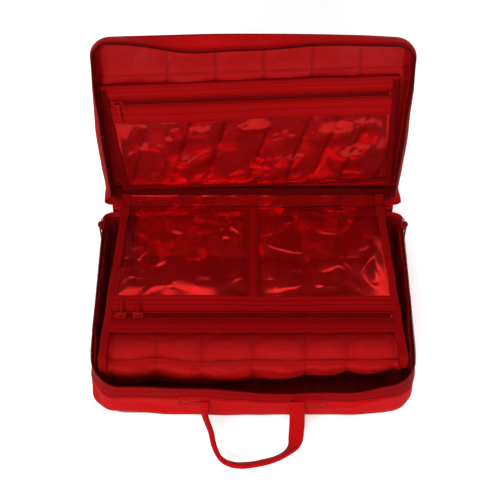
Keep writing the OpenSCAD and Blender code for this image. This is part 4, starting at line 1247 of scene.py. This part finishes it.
class Flap(bpy.types.Operator):
    """Quilted flap with its hanging front edge, clear pockets, bindings and zip"""

    bl_idname = "case.flap"
    bl_label = "Flap"

    def execute(self, context):
        sizes = begin(context)
        y = row(FLAP_LIP, FLAP_REAR, 116)
        x = column(-1, 1, 180) * (flap_half(y) - 4 * MM)
        y = y + fold_wander(x) * smooth((FLAP_PINCHED - y) / (22 * MM))
        stray = fold_wander(x) * (y < FLAP_PINCHED)
        gap = line_gap(x, FLAP_SEAMS)
        rows = line_gap(y - stray, (FLAP_LIP, -64 * MM, -4 * MM, 63 * MM, FLAP_REAR))
        edge = flap_half(y) - 4 * MM - np.abs(x)
        sewn, rim, puff = np.minimum(gap, rows), smooth(edge / (8 * MM)), pillow(gap, rows, 11 * MM)
        # the open row rolls up from its rear end to a crest, then down to the fold
        open_row = smooth((-60 * MM - y) / (2 * MM))
        q = np.clip((FLAP_OPEN - y + stray) / (FLAP_OPEN - FLAP_LIP), 0, 1)
        crest = 0.58
        rising = 6.5 * np.sin(PI / 2 * np.minimum(q / crest, 1))
        falling = 9.5 * np.cos(PI / 2 * np.maximum(q - crest, 0) / (1 - crest)) - 3
        roll = np.where(q < crest, rising, falling) * MM * (0.5 + 0.5 * risen(gap, 9 * MM))
        c = -7.4 * MM + (3.0 * MM * puff * (1 - open_row) + roll * open_row) * rim
        held = (sewn < 1.2 * MM) | (edge < 3 * MM)
        face = swollen("flap_quilt", on_flap(x, y, c), held, pressure=2.5, grow=0.025, cap=3.0 * MM)
        # room for the clear sheets and for the sliders of the zip
        room = FLAP_FACE - (2.6 + 1.2 * hill(y, FLAP_ZIP, 14 * MM)) * MM + 8 * MM * open_row
        face[..., 2] = np.minimum(face[..., 2], room)
        fall = 1.5 * MM * smooth((FLAP_PINCHED - y) / (20 * MM))
        under = on_flap(x, y, -11.4 * MM - 2.2 * MM * puff * rim - fall)
        # painted shadow: cloudy dark patches on the cloth behind the clear pockets stand for the shade of the
        # crumpled vinyl; the open row has none
        painted_vinyl_shade = 0.85 * smooth(0.2 + 0.9 * ripple(x, y, 0.09, 117)) * smooth((y - FLAP_CLEAR) / (6 * MM))
        quilt = Skin().sheet(face, under, np.maximum(0.6 * hill(sewn, 0, 1.7 * MM), painted_vinyl_shade))
        quilt = placed(quilt, "flap_quilt", "quilted_cloth", "flap", "quilted_cloth", "flap_pad")

        # hanging front edge: bends down over a round fold, further under at the right
        x, t = column(-1, 1, 190) * (flap_half(FLAP_FOLD) - 6.5 * MM), row(0, 1, 34)
        places = (-0.2, -0.07, 0.04, 0.125, 0.2)
        turn = np.radians(np.interp(x, places, (76, 78, 98, 124, 134)))
        bend = np.interp(x, places, (13, 13, 10.5, 8, 6.5)) * MM
        fore, down, arc = hung(t, turn, bend)
        y, h = FLAP_LIP + fold_wander(x) - fore, 66.4 * MM - down
        ny, nz = -np.sin(arc), np.cos(arc)
        gap = line_gap(x, FLAP_SEAMS)
        lip = np.sin(PI * np.clip(t * 0.97 + 0.02, 0, 1)) ** 0.45
        thick = (1.4 * MM + 4.4 * MM * risen(gap, 10 * MM)) * lip + 0.25 * MM
        out = thick + 0.5 * MM * ripple(x, t * FLAP_HANG, 0.03, 111) * lip
        face = stack(x, y + ny * out, h + nz * out)
        inner = stack(x, y - ny * thick * 0.7, h - nz * thick * 0.7)
        held = (gap < 1.2 * MM) | (t < 0.02) | (t > 0.98)
        face = swollen("flap_roll", face, held, pressure=-2.0, grow=0.02, cap=2.0 * MM)
        roll = Skin().sheet(face, inner, 0.6 * hill(gap, 0, 1.7 * MM) * lip)
        roll = placed(roll, "flap_front_edge", "quilted_cloth", "flap", "quilted_cloth", "flap_front_roll")

        for name, side, seed in (("left", -1, 121), ("right", 1, 137)):
            a0, a1 = sorted((side * 5 * MM, side * 0.183))

            def place(a, b, c):
                """A pocket's width from the middle strip to the flap's edge, wherever b lies."""
                share = (a - side * 5 * MM) / (0.178 * side)
                return on_flap(side * (5 * MM + share * (flap_half(b) - 12 * MM)), b, c)

            def dents(a, b):
                """Crumples that grow towards the rear."""
                return crumpled(a, b, seed, sizes.crumple) * (0.35 + 0.75 * smooth((b - FLAP_CLEAR) / 0.09))

            def behind(a, b, near):
                """Room above the quilting."""
                return -1.8 * MM

            clear = window(place, a0, a1, FLAP_CLEAR - 2 * MM, FLAP_END, dents, behind)
            clear = bending(
                clear, f"flap_{name}_window", "clear_vinyl", "flap", "clear_vinyl", *FLAP_BEND,
                "flap_window_" + name,
            )

        mid = strip(
            Skin(), lambda a, b, c: on_flap(b, a, c), FLAP_CLEAR - 1 * MM, FLAP_END, -7.5 * MM, 7.5 * MM,
            STRIP_SEAMS, c=0.3 * MM, thick=1.4 * MM, swell=0.6 * MM,
        )
        mid = bending(
            mid, "flap_middle_strip", "strip_cloth", "flap", "binding_cloth", *FLAP_BEND, "flap_centre_strip"
        )

        rear, front = FLAP_BAND_SEAMS
        for name, finish, y0, y1, seams, c, thick, swell, deep in (
            ("rear", "band_cloth", FLAP_ZIP + BAND_GAP, FLAP_CLEAR + 1 * MM, rear, 0.4, 1.5, 0.8, 0.024),
            ("front", "strip_cloth", FLAP_OPEN, FLAP_ZIP - BAND_GAP, front, 0.2, 3.4, 0.9, 0.0156),
        ):
            band = strip(Skin(), on_flap_wide, -0.2, 0.2, y0, y1, seams, c * MM, thick * MM, swell * MM)
            band = placed(band, f"flap_{name}_band", finish, "flap", "outer_cloth", "flap_band_" + name)

        flat_zip(
            "flap", "flap_zip", "flap", sizes.coil_pitch, on_flap_wide, on_flap, REAR, UP,
            middle=FLAP_ZIP, half=0.199, reach=9.6 * MM, end=184.8 * MM,
        )

        # side bindings run on down the hanging edge
        y = np.linspace(FLAP_TAPES, FLAP_LIP, 90)
        for name, side, end in (("left", -1, 0), ("right", 1, -1)):
            wander = 0.6 * MM * ripple(y, 0.0, 0.07, 151 + side)
            flat = on_flap(side * (flap_half(y) - TAPE_IN) + wander, y, -5.9 * MM)
            fore, down, _ = hung(np.linspace(0, 1, 26)[1:], turn[end, 0], bend[end, 0])
            path = np.concatenate([flat, flat[-1] - stack(0.0, fore, down)])
            up = unit(np.cross(side * RIGHT, unit(np.gradient(path, axis=0)))) * -side
            past = np.concatenate([0 * y, np.linspace(0, 1, len(down))])
            tall = (14.0 - 4.5 * smooth(past * 3)) * MM
            section = oblong(1.0, 1.0, 0.3, 5) * stack(TAPE_W, tall)[:, None]
            edge = Skin().tube(carried(path, side * RIGHT, up, section))
            edge = placed(
                edge, f"flap_{name}_tape", "binding_cloth", "flap", "binding_cloth", "flap_binding_" + name
            )
            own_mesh(edge)

        x = np.linspace(-1, 1, 130)
        path = on_flap(x * (flap_half(141 * MM) - 1 * MM), 141 * MM, -8.4 * MM)
        edge = bar(Skin(), path, REAR, UP, 10.6 * MM, 9.4 * MM, 3.0 * MM)
        placed(edge, "flap_rear_tape", "binding_cloth", "flap", "binding_cloth", "flap_rear_binding")
        path = on_flap(x * (flap_half(143 * MM) - 7 * MM), 146.3 * MM, -2.4 * MM)
        hem = bar(Skin(), path, REAR, UP, 3.0 * MM, 2.0 * MM, 0.9 * MM)
        y = np.linspace(FLAP_TAPES - 0.4 * MM, FLAP_END, 24)
        for side in (-1, 1):
            path = on_flap(side * (flap_half(y) - TAPE_IN), y, -0.3 * MM)
            bar(hem, path, POCKET_ALONG, UP, TAPE_W, 2.6 * MM, 0.7 * MM)
        bending(
            hem, "flap_rear_hem_tape", "binding_cloth", "flap", "binding_cloth", *FLAP_BEND, "flap_rear_hem"
        )
        return {"FINISHED"}


class Handle(bpy.types.Operator):
    """Webbing loop and the two patches that sew it to the front wall"""

    bl_idname = "case.handle"
    bl_label = "Handle"

    def execute(self, context):
        begin(context)
        at = np.array(joint("handle_hinge")["pos_m"])
        span, reach, drop = 128 * MM, 72 * MM, 38 * MM
        # each knot: its shares of span, reach and drop, the direction across the strap, and the width and
        # thickness in mm; folded lengthwise to a grip, opened out flat at the right
        knots = np.array(
            [
                [0, 0, 0, 1, -0.02, 0.02, 12, 2.6],
                [0.01, -0.185, -0.325, 0.5, -0.4, 0.7, 12, 5.4],
                [0.07, -0.45, -0.57, 0.25, -0.5, 0.8, 12, 6.4],
                [0.11, -0.7, -0.82, 0.2, -0.55, 0.8, 12, 6.5],
                [0.19, -0.91, -0.95, 0.1, -0.62, 0.78, 12, 6.5],
                [0.34, -1, -1, 0, -0.7, 0.72, 12, 6.5],
                [0.55, -0.97, -0.98, 0, -0.72, 0.69, 12.5, 6.2],
                [0.77, -0.86, -0.92, 0.2, -0.6, 0.75, 15, 5.4],
                [0.91, -0.67, -0.79, 0.75, -0.2, 0.6, 19, 4.6],
                [0.945, -0.39, -0.5, 1, 0, 0, 20, 4.4],
                [0.95, -0.11, -0.13, 1, 0, 0, 20, 4.4],
                [0.95, 0, 0, 1, 0, 0, 20, 4.4],
            ]
        )
        where = knots[:, :3] * [span, reach, drop] + [-span / 2, at[1], at[2]]
        path, side, size = (through(k, 14) for k in (where, knots[:, 3:6], knots[:, 6:] * MM))
        run = unit(np.gradient(path, axis=0))
        side = unit(side - run * (side * run).sum(-1, keepdims=True))
        along = lengths(path)
        uneven = 1.0 * MM * ripple(along, 0.0, 0.022, 171) * smooth((17 * MM - size[:, 0]) / (4 * MM))
        size[:, 0] += uneven * smooth(along / (30 * MM))
        rings = carried(path, side, np.cross(run, side), oblong(1.0, 1.0, 0.24, 4) * size[:, None])
        rings[..., 2] = np.maximum(rings[..., 2], 1.0 * MM)
        strap = Skin().tube(rings)
        strap = placed(strap, "handle_webbing", "webbing", "handle", "webbing", "handle_strap")
        patches = ["handle_left_patch", "handle_right_patch"]

        # patches: sewn round their edge and corner to corner
        for name, node in zip(patches, ("handle_patch_left", "handle_patch_right")):
            (x0, _, z0), (x1, _, z1) = low(node), high(node)
            s, h = column(x0, x1, 34), row(z0, z1, 20)
            near = np.minimum(np.minimum(s - x0, x1 - s), np.minimum(h - z0, z1 - h))
            cross = np.abs(s - (x0 + x1) / 2) / (x1 - x0) - np.abs(h - (z0 + z1) / 2) / (z1 - z0)
            cross = hill(cross, 0, 0.05) * smooth((near - 2 * MM) / (1 * MM))
            sewn = np.maximum(hill(near, PATCH_HEM, 0.7 * MM), cross)
            lift = 1.7 * MM * smooth(near / (1.2 * MM)) * (1 - 0.3 * sewn)
            patch = Skin().sheet(*both(slumped, s, h, (-0.2 * MM - lift, 0.5 * MM)), sewn)
            placed(patch, name, "webbing", "base", "webbing", node)
        return {"FINISHED"}


SPINE_BEND = ((0, 0.1506, 0.0715), (0, 0.1545, 0.0755))  # where the cloth hinge passes from base to lid
OVER_BEND = ((0, 0.1502, 0.0775), (0, 0.157, 0.0785))  # where the sheets above it do
OVER_END = 0.62  # how far over the hinge the clear pockets run, as a share
OVER_LONG = 28.6 * MM  # distance over the hinge


def over_hinge(x, t, c):
    """Over the hinge: x across, t from the base's rim to the foot of the lid pocket, c up from the
    lining."""
    lift = 76.0 + 2.4 * smooth(t * 1.4) + 4.1 * np.maximum(t, 0) ** 2.5
    lift = lift + 0.4 * ripple(x, t * 0.03, 0.05, 33) * smooth(t * 4)
    return stack(x, (149.8 + 28.2 * t) * MM, lift * MM + c)


class Spine(bpy.types.Operator):
    """Cloth hinge between the base's rear wall and the lid, and the sheets that run over it"""

    bl_idname = "case.spine"
    bl_label = "Cloth hinge"

    def execute(self, context):
        sizes = begin(context)
        # cloth hinge: up the rear wall, round a quarter circle and on under the lid
        x, t = column(low("spine_cloth")[0], high("spine_cloth")[0], 120), row(0, 1, 40)
        bend, up = 2.4 * MM, 12.2 * MM
        along = t * (up + bend * PI / 2 + 10.6 * MM)
        arc = np.clip((along - up) / bend, 0, PI / 2)
        out = 0.5 * MM + 0.3 * MM * ripple(x, along, 0.04, 161)
        y = 150.6 * MM + bend * (1 - np.cos(arc)) + np.maximum(along - up - bend * PI / 2, 0)
        h = 60.6 * MM + np.minimum(along, up) + bend * np.sin(arc)
        ny, nz = np.cos(arc), -np.sin(arc)
        back = stack(x, y - ny * 0.5 * MM, h - nz * 0.5 * MM)
        cloth = Skin().sheet(stack(x, y + ny * out, h + nz * out), back)
        cloth = bending(
            cloth, "spine_hinge_cloth", "outer_cloth", "lid", "outer_cloth", *SPINE_BEND, "spine_cloth"
        )

        # the flap's pockets run on towards the foot of the lid pocket, over lining darkened as painted shade
        half = flap_half(148 * MM)
        x, t = column(-199 * MM, 199 * MM, 110), row(0, 1, 40)
        # painted shadow: the rear part, next to the lid, is darkened further
        gusset = Skin().sheet(*both(over_hinge, x, t, (0.0, -0.6 * MM)), smooth((t - 0.34) / 0.2))
        gusset = bending(gusset, "hinge_gusset", "gusset_cloth", "lid", "plain_lining", *OVER_BEND)

        x, t = column(-1, 1, 150) * (half - 4 * MM), row(0, OVER_END, 20)
        gap = line_gap(x, FLAP_SEAMS)
        faces = both(over_hinge, x, t, (0.7 * MM + 0.5 * MM * risen(gap, 8 * MM), 0.2 * MM))
        quilt = Skin().sheet(*faces, hill(gap, 0, 1.7 * MM))
        # painted shade: the darker plain lining stands for the lid's shade over the hinge
        quilt = bending(quilt, "hinge_quilt", "plain_lining", "lid", "quilted_cloth", *OVER_BEND)
        flat = (2 * half - 8 * MM, OVER_END * OVER_LONG)

        clear = Skin()
        for side in (-1, 1):
            x = column(side * 5 * MM, side * (half - 7 * MM), 150)[::side]
            c = 0.5 * crumpled(x, t * 0.03, 181 + side, sizes.crumple) * np.sin(PI * t / OVER_END) ** 0.5
            c = np.maximum(1.7 * MM + c, 1.4 * MM)
            clear.sheet(*both(over_hinge, x, t - 0.03, (c, c - 0.3 * MM)))
        clear = bending(clear, "hinge_windows", "clear_vinyl", "lid", "clear_vinyl", *OVER_BEND)
        flat = (2 * half - 24 * MM, OVER_END * OVER_LONG)

        tapes, t, side = Skin(), np.linspace(-0.03, OVER_END, 24), half - TAPE_IN
        for at, wide, tall in ((0.0, 15 * MM, 1.6 * MM), (-side, TAPE_W, 2.6 * MM), (side, TAPE_W, 2.6 * MM)):
            bar(tapes, over_hinge(at, t, 1.9 * MM), POCKET_ALONG, UP, wide, tall, 0.7 * MM)
        bending(tapes, "hinge_tapes", "strip_cloth", "lid", "binding_cloth", *OVER_BEND)
        return {"FINISHED"}


class Stitching(bpy.types.Operator):
    """Rows of thread along the seams of base, lid and flap"""

    bl_idname = "case.stitching"
    bl_label = "Stitching"

    def execute(self, context):
        size = begin(context).stitch
        base, lid, flap = Skin(), Skin(), Skin()
        end = run_to(WALL_END)
        s = np.linspace(-end, end, 500)
        _, _, nx, ny = around(s)
        stitches(base, slumped(s, TAPE_FOOT + 0.2 * MM, -0.12 * MM), stack(nx, ny, 0.0), size)
        for node in ("handle_patch_left", "handle_patch_right"):
            (x0, _, z0), (x1, _, z1) = low(node) + PATCH_HEM, high(node) - PATCH_HEM
            box = np.array([[x0, z0], [x1, z0], [x1, z1], [x0, z1]])
            for i, j in ((0, 1), (1, 2), (2, 3), (3, 0), (0, 2), (1, 3)):
                p = box[i] + (box[j] - box[i]) * column(0, 1, 20)
                stitches(base, slumped(p[:, 0], p[:, 1], -1.6 * MM), FORE, size * 0.7)
        placed(base, "base_stitches", "thread", "base", "outer_cloth")

        stitches(lid, lid_wall(s, 11.2 * MM, -0.12 * MM), stack(nx, 0.0, -ny), size)
        a = np.linspace(-POCKET_W + 8 * MM, POCKET_W - 8 * MM, 160)
        for b in POCKET_SEAMS[0] + POCKET_SEAMS[1]:
            stitches(lid, on_pocket(a, b, 0.75 * MM), FORE, size)
        placed(lid, "lid_stitches", "thread", "lid", "outer_cloth")

        for seams, c in zip(FLAP_BAND_SEAMS, (0.55 * MM, 0.35 * MM)):
            for y in seams:
                x = np.linspace(-1, 1, 160) * (flap_half(y) - 11 * MM)
                stitches(flap, on_flap(x, y, c), UP, size)
        y = np.linspace(FLAP_CLEAR + 2 * MM, FLAP_TAPES, 80)
        for x in STRIP_SEAMS:
            stitches(flap, on_flap(x, y, 0.45 * MM), UP, size)
        placed(flap, "flap_stitches", "thread", "flap", "outer_cloth")
        return {"FINISHED"}


class Hardware(bpy.types.Operator):
    """Finishes on the solids that stay as they are: sliders, pulls, board and anchor tape"""

    bl_idname = "case.hardware"
    bl_label = "Sliders and boards"

    def execute(self, context):
        begin(context)
        finish = {"base_board": "stiff_board", "flap_anchor_tape": "binding_cloth"}
        for name, node in frame["nodes"].items():
            if "slider" in name or "pull" in name:
                finish[name] = "zip_metal"
            if name in finish:
                node.data.materials.clear()
                node.data.materials.append(FINISH[finish[name]])
        return {"FINISHED"}


class Stage(bpy.types.Operator):
    """Plain floor, soft studio light and the camera at the photograph's view"""

    bl_idname = "case.stage"
    bl_label = "Stage"

    def lamp(self, scene, name, at, wide, tall, watts):
        """An area lamp aimed at the middle of the case: tilted and turned by the angles of the line to
        it."""
        light = bpy.data.lights.new(name, "AREA")
        light.shape, light.size, light.size_y, light.energy = "RECTANGLE", wide, tall, watts
        lamp = bpy.data.objects.new(name, light)
        scene.collection.objects.link(lamp)
        lamp.location = at
        x, y, z = np.array([0.0, 0.0, 0.1]) - at
        lamp.rotation_euler = (PI / 2 + math.atan2(z, math.hypot(x, y)), 0.0, math.atan2(-x, y))

    def execute(self, context):
        begin(context)
        scene = context.scene
        x, y = column(-4, 4, 9), row(-4, 4, 9)
        floor = Skin().sheet(stack(x, y, -0.4 * MM), stack(x, y, -4 * MM))
        floor.make("floor", "floor_paint")

        self.lamp(scene, "front_softbox", (-0.5, -2.6, 1.55), 2.2, 1.2, 112)
        self.lamp(scene, "rear_softbox", (0.2, 1.1, 2.2), 1.6, 0.9, 16)
        self.lamp(scene, "top_softbox", (-0.2, 0.2, 2.4), 1.3, 0.8, 8)
        self.lamp(scene, "left_softbox", (-2.4, -0.5, 1.4), 1.2, 1.2, 12)
        self.lamp(scene, "right_softbox", (2.4, -0.4, 1.4), 1.2, 1.2, 10)
        scene.world = bpy.data.worlds.new("studio")
        scene.world.use_nodes = True
        back = scene.world.node_tree.nodes["Background"]
        back.inputs[0].default_value, back.inputs[1].default_value = (1.0, 1.0, 1.0, 1.0), 0.26
        scene.view_settings.view_transform = "Standard"

        data = bpy.data.cameras.new("photo_view")
        data.sensor_width, data.lens = 36.0, 81.73
        camera = bpy.data.objects.new("photo_view", data)
        scene.collection.objects.link(camera)
        camera.location = (-4.0 * MM, -0.86513, 1.36568)
        camera.rotation_euler = (math.radians(36.0), 0.0, 0.0)
        scene.camera = camera
        return {"FINISHED"}


class CasePanel(bpy.types.Panel):
    """Lists the steps and the sizes and colours they use"""

    bl_idname = "VIEW3D_PT_soft_case"
    bl_label = "Soft case"
    bl_space_type = "VIEW_3D"
    bl_region_type = "UI"
    bl_category = "Soft case"

    def draw(self, context):
        for group in (context.scene.case_sizes, context.scene.case_colours):
            box = self.layout.box()
            for name in group.__annotations__:
                box.prop(group, name)
        for step in STEPS:
            self.layout.operator(step.bl_idname)


STEPS = (Stage, BaseShell, MainZip, LidShell, LidPocket, Flap, Handle, Spine, Stitching, Hardware)
CLASSES = (CaseSizes, CaseColours) + STEPS + (CasePanel,)


def register():
    for item in CLASSES:
        bpy.utils.register_class(item)
    bpy.types.Scene.case_sizes = bpy.props.PointerProperty(type=CaseSizes)
    bpy.types.Scene.case_colours = bpy.props.PointerProperty(type=CaseColours)


def unregister():
    del bpy.types.Scene.case_sizes, bpy.types.Scene.case_colours
    for item in reversed(CLASSES):
        bpy.utils.unregister_class(item)


def main():
    register()
    for step in STEPS:
        group, name = step.bl_idname.split(".")
        if getattr(getattr(bpy.ops, group), name)() != {"FINISHED"}:
            raise RuntimeError(f"{step.bl_label} did not finish")


if __name__ == "__main__":
    main()
